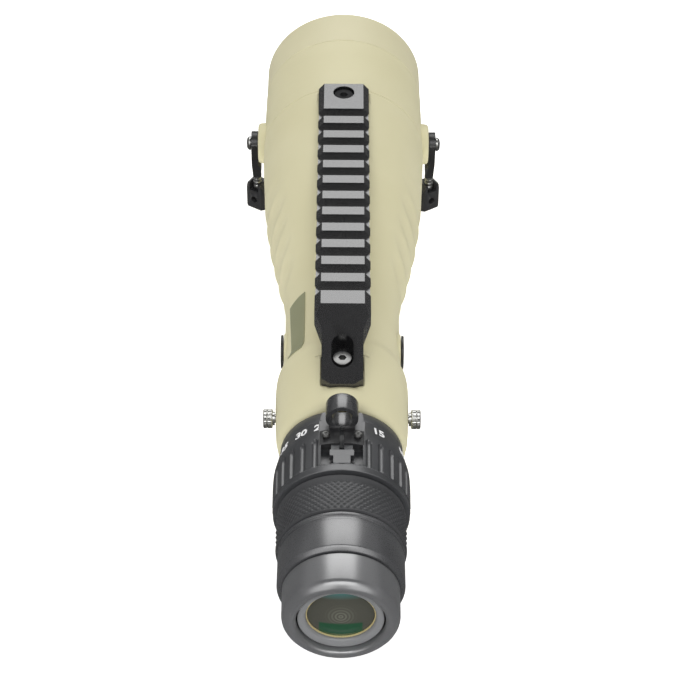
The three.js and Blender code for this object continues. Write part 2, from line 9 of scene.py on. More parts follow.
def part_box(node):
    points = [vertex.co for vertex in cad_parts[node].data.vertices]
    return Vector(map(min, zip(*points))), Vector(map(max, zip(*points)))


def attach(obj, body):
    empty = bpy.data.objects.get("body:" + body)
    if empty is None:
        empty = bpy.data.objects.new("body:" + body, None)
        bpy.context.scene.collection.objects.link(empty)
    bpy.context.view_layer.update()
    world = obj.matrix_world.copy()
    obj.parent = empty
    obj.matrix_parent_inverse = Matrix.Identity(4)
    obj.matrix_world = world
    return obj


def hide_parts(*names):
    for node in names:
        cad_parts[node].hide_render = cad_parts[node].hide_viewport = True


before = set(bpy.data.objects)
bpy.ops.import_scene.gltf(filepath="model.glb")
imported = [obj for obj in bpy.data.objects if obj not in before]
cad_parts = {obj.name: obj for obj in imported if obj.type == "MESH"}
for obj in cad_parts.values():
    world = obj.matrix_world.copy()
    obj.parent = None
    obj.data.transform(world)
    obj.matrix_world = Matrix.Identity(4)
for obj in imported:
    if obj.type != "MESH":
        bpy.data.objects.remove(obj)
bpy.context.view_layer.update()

MM = 0.001
DEG = math.radians(1)


# ---------------- places taken from the frame

def box_mm(node):
    low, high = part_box(node)
    return [v / MM for v in low], [v / MM for v in high]


def span(node, axis="y"):
    """Lowest and highest place of a node along one axis, in millimetres."""
    low, high = box_mm(node)
    k = "xyz".index(axis)
    return low[k], high[k]


def middle(node):
    low, high = box_mm(node)
    return [(a + b) / 2 for a, b in zip(low, high)]


AXIS_Z = middle("eyecup")[2]
AT_AXIS = Matrix.Translation((0, 0, AXIS_Z * MM))
BODY_REAR, BODY_FRONT = span("body_shell")
HOUSING_REAR = BODY_FRONT + 0.3
HOUSING_FRONT = span("front_housing")[1]
HOOD_FRONT = span("sunshade")[1]
ZOOM_REAR, ZOOM_FRONT = span("zoom_ring")
FOCUS_REAR, FOCUS_FRONT = span("focus_ring")
DIOPTRE_REAR, DIOPTRE_FRONT = span("dioptre_ring")
CUP_REAR = span("eyecup")[0]
CUP_FRONT = DIOPTRE_REAR - 0.3
RAIL_REAR, RAIL_FRONT = span("rail")
RAIL_TOP = span("rail", "z")[1]
FOOT_REAR, FOOT_FRONT = span("mounting_foot")


# ---------------- mesh helpers
# Sizes are in millimetres, and every height is given from the optical axis.

def add_object(name, data):
    thing = bpy.data.objects.new(name, data)
    bpy.context.scene.collection.objects.link(thing)
    return thing


def new_piece(name, points, edges, faces):
    mesh = bpy.data.meshes.new(name)
    mesh.from_pydata([Vector(p) * MM for p in points], edges, faces)
    return add_object(name, mesh)


def tidy_mesh(piece, angle=32):
    """Closes doubled points, turns the faces outwards and shades round stretches smoothly."""
    shape = bmesh.new()
    shape.from_mesh(piece.data)
    bmesh.ops.remove_doubles(shape, verts=shape.verts, dist=1e-6)
    bmesh.ops.dissolve_degenerate(shape, edges=shape.edges, dist=1e-7)
    bmesh.ops.recalc_face_normals(shape, faces=shape.faces)
    if shape.calc_volume(signed=True) < 0:
        bmesh.ops.reverse_faces(shape, faces=shape.faces)
    shape.to_mesh(piece.data)
    shape.free()
    piece.data.shade_smooth()
    piece.data.set_sharp_from_angle(angle=angle * DEG)


def settle(piece, place=Matrix.Identity(4)):
    """Applies the modifier stack and then the place, which leaves the object at the origin."""
    bpy.context.view_layer.update()
    depsgraph = bpy.context.evaluated_depsgraph_get()
    mesh = bpy.data.meshes.new_from_object(piece.evaluated_get(depsgraph))
    mesh.transform(place)
    old = piece.data
    piece.modifiers.clear()
    piece.data = mesh
    bpy.data.meshes.remove(old)
    return piece


def turned(name, outline, steps=128, place=AT_AXIS):
    """A piece turned about the Y axis. Its outline is (radius, y) or (radius, y, corner rounding)."""
    points = [(p[0], p[1], 0) for p in outline]
    edges = [(i, i + 1) for i in range(len(points) - 1)]
    if outline[0][0] > 0:
        edges.append((len(points) - 1, 0))
    piece = new_piece(name, points, edges, [])
    corners = [p[2] if len(p) > 2 else 0 for p in outline]
    if max(corners) > 0:
        weights = piece.data.attributes.new("bevel_weight_vert", "FLOAT", "POINT")
        for item, corner in zip(weights.data, corners):
            item.value = corner / max(corners)
        bevel = piece.modifiers.new("rounded corners", "BEVEL")
        bevel.affect = "VERTICES"
        bevel.limit_method = "WEIGHT"
        bevel.width = max(corners) * MM
        bevel.segments = 3
        bevel.use_clamp_overlap = False
    screw = piece.modifiers.new("turning", "SCREW")
    screw.axis = "Y"
    screw.steps = steps
    screw.render_steps = steps
    screw.use_merge_vertices = True
    screw.merge_threshold = 1e-6
    settle(piece, place)
    tidy_mesh(piece)
    return piece


def spin_x(name, outline, at, side=1, steps=64):
    """A piece turned about an X axis through at. Its outline runs outwards: (radius, distance along X)."""
    turn = AT_AXIS @ Matrix.Translation(Vector(at) * MM) @ Matrix.Rotation(-90 * DEG * side, 4, "Z")
    return turned(name, outline, steps=steps, place=turn)


def spin_z(name, outline, at, steps=64):
    """A piece turned about a vertical axis through at. Its outline is (radius, height above at)."""
    turn = AT_AXIS @ Matrix.Translation(Vector(at) * MM) @ Matrix.Rotation(90 * DEG, 4, "X")
    return turned(name, outline, steps=steps, place=turn)


def prism(name, outline, axis, low, high):
    """A closed prism. outline is across the axis: (y, z) for X, (x, z) for Y, (x, y) for Z."""
    def point(u, v, w):
        x, y, z = {"x": (w, u, v), "y": (u, w, v), "z": (u, v, w)}[axis]
        return x, y, z + AXIS_Z

    n = len(outline)
    points = [point(u, v, low) for u, v in outline] + [point(u, v, high) for u, v in outline]
    faces = [tuple(range(n)), tuple(range(n, 2 * n))]
    faces += [(i, (i + 1) % n, n + (i + 1) % n, n + i) for i in range(n)]
    piece = new_piece(name, points, [], faces)
    tidy_mesh(piece)
    return piece


def block(name, x, y, z):
    return prism(name, [(x[0], y[0]), (x[1], y[0]), (x[1], y[1]), (x[0], y[1])], "z", z[0], z[1])


def circle(radius, centre, steps):
    angles = [360 * i / steps * DEG for i in range(steps)]
    return [(centre[0] + radius * math.cos(a), centre[1] + radius * math.sin(a)) for a in angles]


def combine(piece, operation, tools):
    """Joins or cuts with helper solids, applies the result and removes the helpers."""
    for tool in tools:
        mod = piece.modifiers.new("shape", "BOOLEAN")
        mod.operation = operation
        mod.solver = "EXACT"
        mod.object = tool
    settle(piece)
    for tool in tools:
        bpy.data.objects.remove(tool)
    return piece


def weld(piece, *tools):
    return combine(piece, "UNION", tools)


def carve(piece, *tools):
    return combine(piece, "DIFFERENCE", tools)


def soften(piece, width, segments=3, angle=28):
    """Breaks the sharp edges with a live bevel."""
    tidy_mesh(piece, angle)
    bevel = piece.modifiers.new("broken edges", "BEVEL")
    bevel.width = width * MM
    bevel.segments = segments
    bevel.limit_method = "ANGLE"
    bevel.angle_limit = angle * DEG
    bevel.harden_normals = True
    bevel.miter_outer = "MITER_ARC"
    piece.data.shade_smooth()
    return piece


def reshape(piece, relief, angle=32):
    """Moves each point along its radius by relief(angle from the top in degrees, y, radius)."""
    for vertex in piece.data.vertices:
        x, y, z = vertex.co.x / MM, vertex.co.y / MM, vertex.co.z / MM - AXIS_Z
        radius = math.hypot(x, z)
        if radius > 1e-6:
            grow = 1 + relief(math.degrees(math.atan2(x, z)), y, radius) / radius
            vertex.co.x = x * grow * MM
            vertex.co.z = (z * grow + AXIS_Z) * MM
    tidy_mesh(piece, angle)
    return piece


def finish(piece, body, slot, material, *nodes):
    """Gives a piece its material and its body and hides the frame nodes that it stands for. The slot is not used."""
    piece.data.materials.clear()
    piece.data.materials.append(material)
    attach(piece, body)
    if nodes:
        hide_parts(*nodes)
    return piece


def smooth_step(low, high, value):
    t = min(1, max(0, (value - low) / (high - low)))
    return t * t * (3 - 2 * t)


def through(knots, count):
    """Points on a smooth curve through (y, radius) knots, as (radius, y)."""
    out = []
    for i in range(len(knots) - 1):
        before = knots[max(0, i - 1)]
        a, b = knots[i], knots[i + 1]
        after = knots[min(len(knots) - 1, i + 2)]
        steps = max(1, round(count * abs(b[0] - a[0]) / abs(knots[-1][0] - knots[0][0])))
        slope_a = (b[1] - before[1]) / (b[0] - before[0])
        slope_b = (after[1] - a[1]) / (after[0] - a[0])
        width = b[0] - a[0]
        for k in range(steps):
            t = k / steps
            r = ((2 * t ** 3 - 3 * t ** 2 + 1) * a[1] + (t ** 3 - 2 * t ** 2 + t) * width * slope_a
                 + (3 * t ** 2 - 2 * t ** 3) * b[1] + (t ** 3 - t ** 2) * width * slope_b)
            out.append((r, a[0] + width * t))
    out.append((knots[-1][1], knots[-1][0]))
    return out


def level(points, y):
    """Radius of a (radius, y) outline at y."""
    for (r0, y0), (r1, y1) in zip(points, points[1:]):
        if min(y0, y1) <= y <= max(y0, y1):
            return r0 + (r1 - r0) * (y - y0) / (y1 - y0)
    return points[-1][0]


# ---------------- materials

def start_material(name):
    material = bpy.data.materials.new(name)
    material.use_nodes = True
    material.node_tree.nodes.clear()
    return material, material.node_tree.nodes, material.node_tree.links


def lay_out(nodes, columns):
    """Places the labelled nodes on a grid, left to right."""
    for column, group in enumerate(columns):
        for row, node in enumerate(group):
            node.location = (column * 240, -row * 230)


# What differs between a paint or rubber and a metal finish. A drift or rub range is (from, to, strength), and a
# sheen range is (from, to, roughness taken off, roughness added).
PAINT = dict(label="satin armour paint", drift_scale=28, drift_detail=3, drift=(0.35, 0.7, 0.35),
             rub=(0.52, 0.62, 0.5), grain_detail=4, sheen=(0, 1, -0.06, 0.08), height=0.00012)
METAL = dict(label="metal finish", drift_scale=60, drift_detail=2, drift=(0.3, 0.75, 0.18),
             rub=(0.53, 0.66, 0.35), grain_detail=5, sheen=(0.3, 0.7, -0.05, 0.07), height=0.00008)


def surface(make, name, base, worn, roughness, grain, relief, metallic=0.0, ior=1.5, stretch=(1, 1, 1)):
    """Paint or metal with a slow tone drift, a fine grain that may be drawn out, and paler rubbed edges."""
    material, nodes, links = start_material(name)
    tone_frame = nodes.new("NodeFrame")
    tone_frame.label = "tone"
    grain_frame = nodes.new("NodeFrame")
    grain_frame.label = "surface grain"

    place = nodes.new("ShaderNodeTexCoord")
    place.label = "place on the piece"
    drawn = nodes.new("ShaderNodeMapping")
    drawn.label = "direction the grain is drawn in"
    drawn.inputs["Scale"].default_value = stretch
    drawn.parent = grain_frame
    pores = nodes.new("ShaderNodeTexNoise")
    pores.label = "fine grain"
    pores.inputs["Scale"].default_value = grain
    pores.inputs["Detail"].default_value = make["grain_detail"]
    pores.parent = grain_frame
    drift = nodes.new("ShaderNodeTexNoise")
    drift.label = "slow drift of the tone"
    drift.inputs["Scale"].default_value = make["drift_scale"]
    drift.inputs["Detail"].default_value = make["drift_detail"]
    drift.parent = tone_frame
    drift_range = nodes.new("ShaderNodeMapRange")
    drift_range.label = "how far the tone drifts"
    drift_range.inputs["From Min"].default_value = make["drift"][0]
    drift_range.inputs["From Max"].default_value = make["drift"][1]
    drift_range.inputs["To Max"].default_value = make["drift"][2]
    drift_range.parent = tone_frame
    shape = nodes.new("ShaderNodeNewGeometry")
    shape.label = "how sharp the edge is"
    rub = nodes.new("ShaderNodeMapRange")
    rub.label = "rubbed edges"
    rub.inputs["From Min"].default_value = make["rub"][0]
    rub.inputs["From Max"].default_value = make["rub"][1]
    rub.inputs["To Max"].default_value = make["rub"][2]
    rub.parent = tone_frame
    together = nodes.new("ShaderNodeMath")
    together.label = "drift plus rubbing"
    together.operation = "ADD"
    together.use_clamp = True
    together.parent = tone_frame
    tone = nodes.new("ShaderNodeMix")
    tone.label = "base tone to paler tone"
    tone.data_type = "RGBA"
    tone.inputs["A"].default_value = base
    tone.inputs["B"].default_value = worn
    tone.parent = tone_frame
    sheen = nodes.new("ShaderNodeMapRange")
    sheen.label = "roughness over the grain"
    sheen.inputs["From Min"].default_value = make["sheen"][0]
    sheen.inputs["From Max"].default_value = make["sheen"][1]
    sheen.inputs["To Min"].default_value = roughness + make["sheen"][2]
    sheen.inputs["To Max"].default_value = roughness + make["sheen"][3]
    sheen.parent = grain_frame
    bump = nodes.new("ShaderNodeBump")
    bump.label = "grain height"
    bump.inputs["Strength"].default_value = relief
    bump.inputs["Distance"].default_value = make["height"]
    bump.parent = grain_frame
    shader = nodes.new("ShaderNodeBsdfPrincipled")
    shader.label = make["label"]
    shader.inputs["Metallic"].default_value = metallic
    shader.inputs["IOR"].default_value = ior
    output = nodes.new("ShaderNodeOutputMaterial")
    output.label = "surface"

    links.new(place.outputs["Object"], drawn.inputs["Vector"])
    links.new(drawn.outputs["Vector"], pores.inputs["Vector"])
    links.new(place.outputs["Object"], drift.inputs["Vector"])
    links.new(drift.outputs["Fac"], drift_range.inputs["Value"])
    links.new(shape.outputs["Pointiness"], rub.inputs["Value"])
    links.new(drift_range.outputs["Result"], together.inputs[0])
    links.new(rub.outputs["Result"], together.inputs[1])
    links.new(together.outputs["Value"], tone.inputs["Factor"])
    links.new(tone.outputs["Result"], shader.inputs["Base Color"])
    links.new(pores.outputs["Fac"], sheen.inputs["Value"])
    links.new(sheen.outputs["Result"], shader.inputs["Roughness"])
    links.new(pores.outputs["Fac"], bump.inputs["Height"])
    links.new(bump.outputs["Normal"], shader.inputs["Normal"])
    links.new(shader.outputs["BSDF"], output.inputs["Surface"])
    lay_out(nodes, [[place, shape], [drawn, drift], [pores, drift_range, rub], [sheen, together], [tone, bump],
                    [shader], [output]])
    return material


def coated_glass(name, tint, roughness=0.02):
    """Clear coated glass with a faint cleaning haze."""
    material, nodes, links = start_material(name)
    haze_frame = nodes.new("NodeFrame")
    haze_frame.label = "haze"
    place = nodes.new("ShaderNodeTexCoord")
    place.label = "place on the lens"
    haze = nodes.new("ShaderNodeTexNoise")
    haze.label = "faint wiping haze"
    haze.inputs["Scale"].default_value = 120
    haze.parent = haze_frame
    haze_range = nodes.new("ShaderNodeMapRange")
    haze_range.label = "polish of the glass"
    haze_range.inputs["To Min"].default_value = roughness
    haze_range.inputs["To Max"].default_value = roughness + 0.02
    haze_range.parent = haze_frame
    shader = nodes.new("ShaderNodeBsdfPrincipled")
    shader.label = "coated glass"
    shader.inputs["Base Color"].default_value = tint
    shader.inputs["Transmission Weight"].default_value = 1
    shader.inputs["IOR"].default_value = 1.52
    shader.inputs["Coat Weight"].default_value = 0.6
    shader.inputs["Coat Roughness"].default_value = roughness
    shader.inputs["Coat Tint"].default_value = (0.85, 0.95, 0.9, 1)
    output = nodes.new("ShaderNodeOutputMaterial")
    output.label = "surface"
    links.new(place.outputs["Object"], haze.inputs["Vector"])
    links.new(haze.outputs["Fac"], haze_range.inputs["Value"])
    links.new(haze_range.outputs["Result"], shader.inputs["Roughness"])
    links.new(shader.outputs["BSDF"], output.inputs["Surface"])
    lay_out(nodes, [[place], [haze], [haze_range], [shader], [output]])
    return material


def eye_lens_painted_reflections(name):
    """Dark eye lens, multicoated, with its look painted into the colour: an olive base for the dark inside seen
    through the glass, faint paler rings painted for reflections of the inner lenses, a painted green reflection below
    and a painted teal reflection along the top.
    """
    material, nodes, links = start_material(name)
    ring_reflections_frame = nodes.new("NodeFrame")
    ring_reflections_frame.label = "painted ring reflections of the inner lenses"
    painted_reflections_frame = nodes.new("NodeFrame")
    painted_reflections_frame.label = "painted coloured reflections"
    place = nodes.new("ShaderNodeTexCoord")
    place.label = "place on the lens"
    centre = nodes.new("ShaderNodeMapping")
    centre.label = "centred on the axis"
    centre.inputs["Location"].default_value = (0, 0, -(AXIS_Z + 0.8) * MM)
    split = nodes.new("ShaderNodeSeparateXYZ")
    split.label = "across and up"
    # Paler rings that fade outwards are painted for reflections of the lenses inside.
    wave = nodes.new("ShaderNodeTexWave")
    wave.label = "fine rings"
    wave.wave_type = "RINGS"
    wave.rings_direction = "Y"
    wave.inputs["Scale"].default_value = 260
    wave.parent = ring_reflections_frame
    far = nodes.new("ShaderNodeVectorMath")
    far.label = "distance from the middle"
    far.operation = "LENGTH"
    far.parent = ring_reflections_frame
    flat = nodes.new("ShaderNodeVectorMath")
    flat.label = "seen square on"
    flat.operation = "MULTIPLY"
    flat.inputs[1].default_value = (1, 0, 1)
    flat.parent = ring_reflections_frame
    near_middle = nodes.new("ShaderNodeMapRange")
    near_middle.label = "rings fade outwards"
    near_middle.inputs["From Min"].default_value = 0.0015
    near_middle.inputs["From Max"].default_value = 0.0058
    near_middle.inputs["To Min"].default_value = 0.6
    near_middle.inputs["To Max"].default_value = 0
    near_middle.parent = ring_reflections_frame
    ring_strength = nodes.new("ShaderNodeMath")
    ring_strength.label = "ring strength"
    ring_strength.operation = "MULTIPLY"
    ring_strength.parent = ring_reflections_frame
    depth = nodes.new("ShaderNodeMix")
    depth.label = "dark inside to painted ring reflection"
    depth.data_type = "RGBA"
    depth.inputs["A"].default_value = (0.056, 0.056, 0.046, 1)
    depth.inputs["B"].default_value = (0.14, 0.14, 0.115, 1)
    depth.parent = ring_reflections_frame
    # Painted reflection: a green cast over the lower part, between the sides.
    low = nodes.new("ShaderNodeMapRange")
    low.label = "lower part"
    low.inputs["From Min"].default_value = -0.0034
    low.inputs["From Max"].default_value = -0.0044
    low.parent = painted_reflections_frame
    sideways = nodes.new("ShaderNodeMath")
    sideways.label = "distance to the side"
    sideways.operation = "ABSOLUTE"
    sideways.parent = painted_reflections_frame
    inside = nodes.new("ShaderNodeMapRange")
    inside.label = "between the sides"
    inside.inputs["From Min"].default_value = 0.0078
    inside.inputs["From Max"].default_value = 0.0072
    inside.parent = painted_reflections_frame
    patch = nodes.new("ShaderNodeMath")
    patch.label = "green patch"
    patch.operation = "MULTIPLY"
    patch.parent = painted_reflections_frame
    green = nodes.new("ShaderNodeMix")
    green.label = "painted green reflection"
    green.data_type = "RGBA"
    green.inputs["B"].default_value = (0.014, 0.056, 0.028, 1)
    green.parent = painted_reflections_frame
    # Painted reflection: a teal cast along the upper edge.
    high = nodes.new("ShaderNodeMapRange")
    high.label = "upper edge"
    high.inputs["From Min"].default_value = 0.0076
    high.inputs["From Max"].default_value = 0.0108
    high.parent = painted_reflections_frame
    teal = nodes.new("ShaderNodeMix")
    teal.label = "painted teal reflection"
    teal.data_type = "RGBA"
    teal.inputs["B"].default_value = (0.06, 0.16, 0.155, 1)
    teal.parent = painted_reflections_frame
    shader = nodes.new("ShaderNodeBsdfPrincipled")
    shader.label = "coated glass"
    shader.inputs["Roughness"].default_value = 0.03
    shader.inputs["IOR"].default_value = 1.3
    output = nodes.new("ShaderNodeOutputMaterial")
    output.label = "surface"
    links.new(place.outputs["Object"], centre.inputs["Vector"])
    links.new(centre.outputs["Vector"], split.inputs["Vector"])
    links.new(centre.outputs["Vector"], wave.inputs["Vector"])
    links.new(centre.outputs["Vector"], flat.inputs[0])
    links.new(flat.outputs["Vector"], far.inputs[0])
    links.new(far.outputs["Value"], near_middle.inputs["Value"])
    links.new(wave.outputs["Fac"], ring_strength.inputs[0])
    links.new(near_middle.outputs["Result"], ring_strength.inputs[1])
    links.new(ring_strength.outputs["Value"], depth.inputs["Factor"])
    links.new(split.outputs["Z"], low.inputs["Value"])
    links.new(split.outputs["Z"], high.inputs["Value"])
    links.new(split.outputs["X"], sideways.inputs[0])
    links.new(sideways.outputs["Value"], inside.inputs["Value"])
    links.new(low.outputs["Result"], patch.inputs[0])
    links.new(inside.outputs["Result"], patch.inputs[1])
    links.new(patch.outputs["Value"], green.inputs["Factor"])
    links.new(depth.outputs["Result"], green.inputs["A"])
    links.new(green.outputs["Result"], teal.inputs["A"])
    links.new(high.outputs["Result"], teal.inputs["Factor"])
    links.new(teal.outputs["Result"], shader.inputs["Base Color"])
    links.new(shader.outputs["BSDF"], output.inputs["Surface"])
    lay_out(nodes, [[place], [centre], [split, wave, flat], [far, low, sideways, high], [near_middle, inside],
                    [ring_strength, patch], [depth, green], [teal], [shader], [output]])
    return material


TAN_PALE = (0.70, 0.66, 0.45, 1)
PAINT_IOR = 1.45
PAINT_GRAIN = 0.22
tan_paint = surface(PAINT, "tan armour paint", (0.63, 0.59, 0.375, 1), TAN_PALE, 0.55, 2600, PAINT_GRAIN,
                    ior=PAINT_IOR)
hood_paint = surface(PAINT, "tan hood paint", (0.62, 0.58, 0.38, 1), TAN_PALE, 0.5, 3200, PAINT_GRAIN,
                     ior=PAINT_IOR)
black_plastic = surface(PAINT, "black moulded plastic", (0.014, 0.014, 0.016, 1), (0.06, 0.06, 0.062, 1), 0.38,
                        3600, PAINT_GRAIN, ior=PAINT_IOR)
olive_plate = surface(PAINT, "olive blank plate", (0.25, 0.255, 0.15, 1), (0.32, 0.325, 0.20, 1), 0.45, 3600,
                      PAINT_GRAIN, ior=PAINT_IOR)
dial_white = surface(PAINT, "white dial paint", (0.85, 0.85, 0.84, 1), (0.9, 0.9, 0.9, 1), 0.5, 4000,
                     PAINT_GRAIN, ior=PAINT_IOR)
# Dark brown painted shade for the seam between body and front housing.
seam_shade_paint = surface(PAINT, "dark painted seam shade", (0.10, 0.075, 0.035, 1), (0.14, 0.11, 0.06, 1), 0.8, 4200,
                      PAINT_GRAIN, ior=PAINT_IOR)
cup_rubber = surface(PAINT, "eyecup rubber", (0.085, 0.086, 0.090, 1), (0.14, 0.142, 0.147, 1), 0.29, 4200,
                     0.02, ior=2.4)
black_anodised = surface(METAL, "black anodised rail", (0.005, 0.005, 0.0055, 1), (0.03, 0.03, 0.031, 1), 0.25,
                         5200, 0.14, ior=1.95)
black_fittings = surface(METAL, "black fittings", (0.014, 0.014, 0.015, 1), (0.09, 0.09, 0.09, 1), 0.36, 4200,
                         0.25, metallic=0.1)
grey_anodised = surface(METAL, "grey anodised rings", (0.040, 0.041, 0.044, 1), (0.12, 0.12, 0.126, 1), 0.3,
                        4200, 0.08, ior=2.1)
flute_anodised = surface(METAL, "grey anodised flutes", (0.034, 0.0355, 0.038, 1), (0.11, 0.112, 0.118, 1),
                         0.34, 4800, 0.22, ior=1.7)
knurl_anodised = surface(METAL, "grey anodised knurling", (0.034, 0.035, 0.037, 1), (0.11, 0.11, 0.116, 1),
                         0.42, 4800, 0.15, ior=1.55)
lever_anodised = surface(METAL, "black anodised lever", (0.020, 0.0205, 0.022, 1), (0.08, 0.08, 0.082, 1), 0.24,
                         5200, 0.1, ior=1.9)
foot_finish = surface(METAL, "dull black lever foot", (0.018, 0.018, 0.019, 1), (0.06, 0.06, 0.062, 1), 0.45,
                      5200, 0.1)
inner_black = surface(METAL, "flat black inside", (0.008, 0.008, 0.009, 1), (0.02, 0.02, 0.02, 1), 0.85, 3000,
                      0.2)
satin_ring = surface(METAL, "satin retainer", (0.18, 0.183, 0.188, 1), (0.24, 0.24, 0.245, 1), 0.36, 4200, 0.1)
bright_steel = surface(METAL, "bright plated steel", (0.40, 0.40, 0.385, 1), (0.7, 0.7, 0.68, 1), 0.3, 2500,
                       0.15, metallic=1.0, stretch=(1, 1, 0.2))
dull_zinc = surface(METAL, "dull zinc plating", (0.20, 0.20, 0.195, 1), (0.4, 0.4, 0.39, 1), 0.38, 2500, 0.2,
                    metallic=1.0)
brass = surface(METAL, "brass lens edge", (0.75, 0.62, 0.3, 1), (0.85, 0.75, 0.45, 1), 0.3, 2500, 0.1,
                metallic=0.3)
# The eye lens carries painted reflections in its colour.
eye_painted_reflections = eye_lens_painted_reflections("eye lens with painted reflections")
clear_glass = coated_glass("objective glass", (0.93, 0.98, 0.96, 1))


# ---------------- body

BODY_KNOTS = [(-102, 24.4), (-96, 24.8), (-80, 25.2), (-74.3, 25), (-71.4, 24.5), (-68.6, 23.4), (-66, 22.7),
              (-63, 22.5), (-36, 22.5), (-28.3, 23), (-22.3, 24.1), (-10, 26.9), (2.6, 29.1), (15.4, 31),
              (28.6, 32.5), (46, 33.5), (66, 34.5), (74, 34.68)]
BODY_LINE = through(BODY_KNOTS, 130)
BORE_LINE = [(19.6, -34.3), (20.2, -28.3), (21.3, -22.3), (24.1, -10), (26.3, 2.6), (28.2, 15.4), (29.6, 42)]
GROOVE_EDGES = [37.5, 25.7, 13.3, 2.4, -9, -20]
GROOVE_DEPTH = 1.05
BOTH_SIDES = [("left", -1), ("right", 1)]
TUBE_STEPS = 200
FRONT_SCREW_AT = (0, 66.7, 0)
REAR_SCREW_AT = (0, -86.2, 0)
FOOT_SCREW_Y = 26
CAP_AT = (0, -53, 0)
LOCK_Y = -90
SWIVEL_AT = (0, 84, -1.7)
SWIVEL_X = 38.4


def finger_grooves(angle, y, radius):
    """Scooped finger grooves on both flanks, with arched upper ends, that drift rearwards as they go down."""
    if radius < level(BODY_LINE, y) - 0.3 or not -32 < y < 44:
        return 0
    away = abs(angle)
    drift = 5 * smooth_step(44, 85, away)
    for front, rear in zip(GROOVE_EDGES, GROOVE_EDGES[1:]):
        if rear - drift <= y < front - drift:
            across = 2 * (y - rear + drift) / (front - rear) - 1
            start = 45 + 9 * across ** 2
            depth = smooth_step(start, start + 16, away) * (1 - smooth_step(118, 145, away))
            edge = 0.45 if front == GROOVE_EDGES[0] else 1
            return -GROOVE_DEPTH * edge * depth * math.cos(across * math.pi / 2) ** 0.8
    return 0


body = turned("body_armour", [
    (19.6, BODY_REAR, 0.3), (21.6, BODY_REAR, 0.9), (23.7, -105.6, 1.2), *BODY_LINE, (34.7, BODY_FRONT - 0.25),
    (34.45, BODY_FRONT), (31, BODY_FRONT, 0.2), (31, 70.5), (29.9, 70.5), (29.9, 55), *reversed(BORE_LINE)],
    steps=TUBE_STEPS)
reshape(body, finger_grooves)
tail_seat = prism("tail_seat", [
    (-64.7, 46), (-64.7, 32.7), (-65.7, 32.7), (-80.3, 22.9), (-98.3, 22.9), (-98.3, 46)], "x", -8.15, 8.15)
combine(tail_seat, "INTERSECT", [prism("seat_plan", [
    (-8.15, -60), (-8.15, -96.1), (-4.5, RAIL_REAR - 0.15), (4.5, RAIL_REAR - 0.15), (8.15, -96.1), (8.15, -60)],
    "z", 15, 50)])
spine = prism("spine", [(66, 12), (66, 32.7), (-65.7, 32.7), (-80.3, 22.9), (-80.3, 12)], "x", -7.5, 7.5)
pad = block("pad", (-14.5, 14.5), (-37, 37), (-35, -18))
soften(pad, 1.6, 4)
cap_seat = spin_x("cap_seat", [(0, -22.7), (6.9, -22.7, 0.4), (7.4, -22), (7.4, 22), (6.9, 22.7, 0.4), (0, 22.7)],
                  CAP_AT)
bore = turned("bore", [(0, -110), (19.6, -110), *BORE_LINE, (29.6, 60), (0, 60)], steps=64)
weld(body, spine, pad, cap_seat)
carve(
    body, bore,
    prism("seat", [(73.2, 32.7), (73.2, 46), (-65.7, 46), (-65.7, 32.7)], "x", -11, 11),
    prism("shoulder_seat", [(-64.7, 46), (-64.7, 32.7), (-65.7, 32.7), (-80.3, 22.9), (-80.3, 46)], "x", -11, 11),
    tail_seat,
    spin_z("screw_hole_front", [(0, 20), (2.6, 20), (2.6, 45), (0, 45)], FRONT_SCREW_AT),
    spin_z("screw_hole_rear", [(0, 15), (2, 15), (2, 30), (0, 30)], REAR_SCREW_AT),
    *[spin_z("foot_hole", [(0, -45), (2.4, -45), (2.4, -27), (0, -27)], (0, y, 0))
      for y in (FOOT_SCREW_Y, -FOOT_SCREW_Y)],
    spin_x("cap_bore", [(0, -30), (3.8, -30), (3.8, 30), (0, 30)], CAP_AT),
    spin_x("lock_bore", [(0, -30), (1.9, -30), (1.9, 30), (0, 30)], (0, LOCK_Y, 0)),
)
tidy_mesh(body, 38)
finish(body, "body", "tan", tan_paint, "body_shell")

housing = turned("front_housing_armour", [
    (30.7, HOUSING_REAR), (34.35, HOUSING_REAR), (34.68, HOUSING_REAR + 0.35), (34.68, HOUSING_REAR + 0.7),
    (34.61, 88.6), (34.61, 88.9), (34.54, 89.1), (34.54, 89.4), (34.55, 100.5), (34.55, 100.8), (34.49, 101),
    (34.49, 101.3), (34.5, HOUSING_FRONT - 0.6), (34.5, HOUSING_FRONT - 0.3), (34.25, HOUSING_FRONT),
    (32.5, HOUSING_FRONT), (32.5, 88), (30.9, 88), (30.9, 79), (28.4, 79), (28.4, 72.2), (30.7, 72.2)],
    steps=TUBE_STEPS)
for name, side in BOTH_SIDES:
    boss = spin_x("boss", [(0, 32.6), (9.4, 32.6), (8.9, 34.6), (8.6, 37.4, 1.1), (0, 37.4)], SWIVEL_AT, side, 72)
    hole = spin_x("hole", [(0, 35), (1.7, 35), (1.7, 40), (0, 40)], SWIVEL_AT, side)
    weld(housing, boss)
    carve(housing, hole)
tidy_mesh(housing, 38)
finish(housing, "body", "tan", tan_paint, "front_housing")

# A dark ring fills the seam gap between body and front housing as painted shade.
seam_shade_ring = turned("painted_seam_shade", [
    (31, BODY_FRONT + 0.04), (34.25, BODY_FRONT + 0.04), (34.25, HOUSING_REAR - 0.04), (31, HOUSING_REAR - 0.04)],
    steps=TUBE_STEPS)
finish(seam_shade_ring, "body", "rubber", seam_shade_paint)

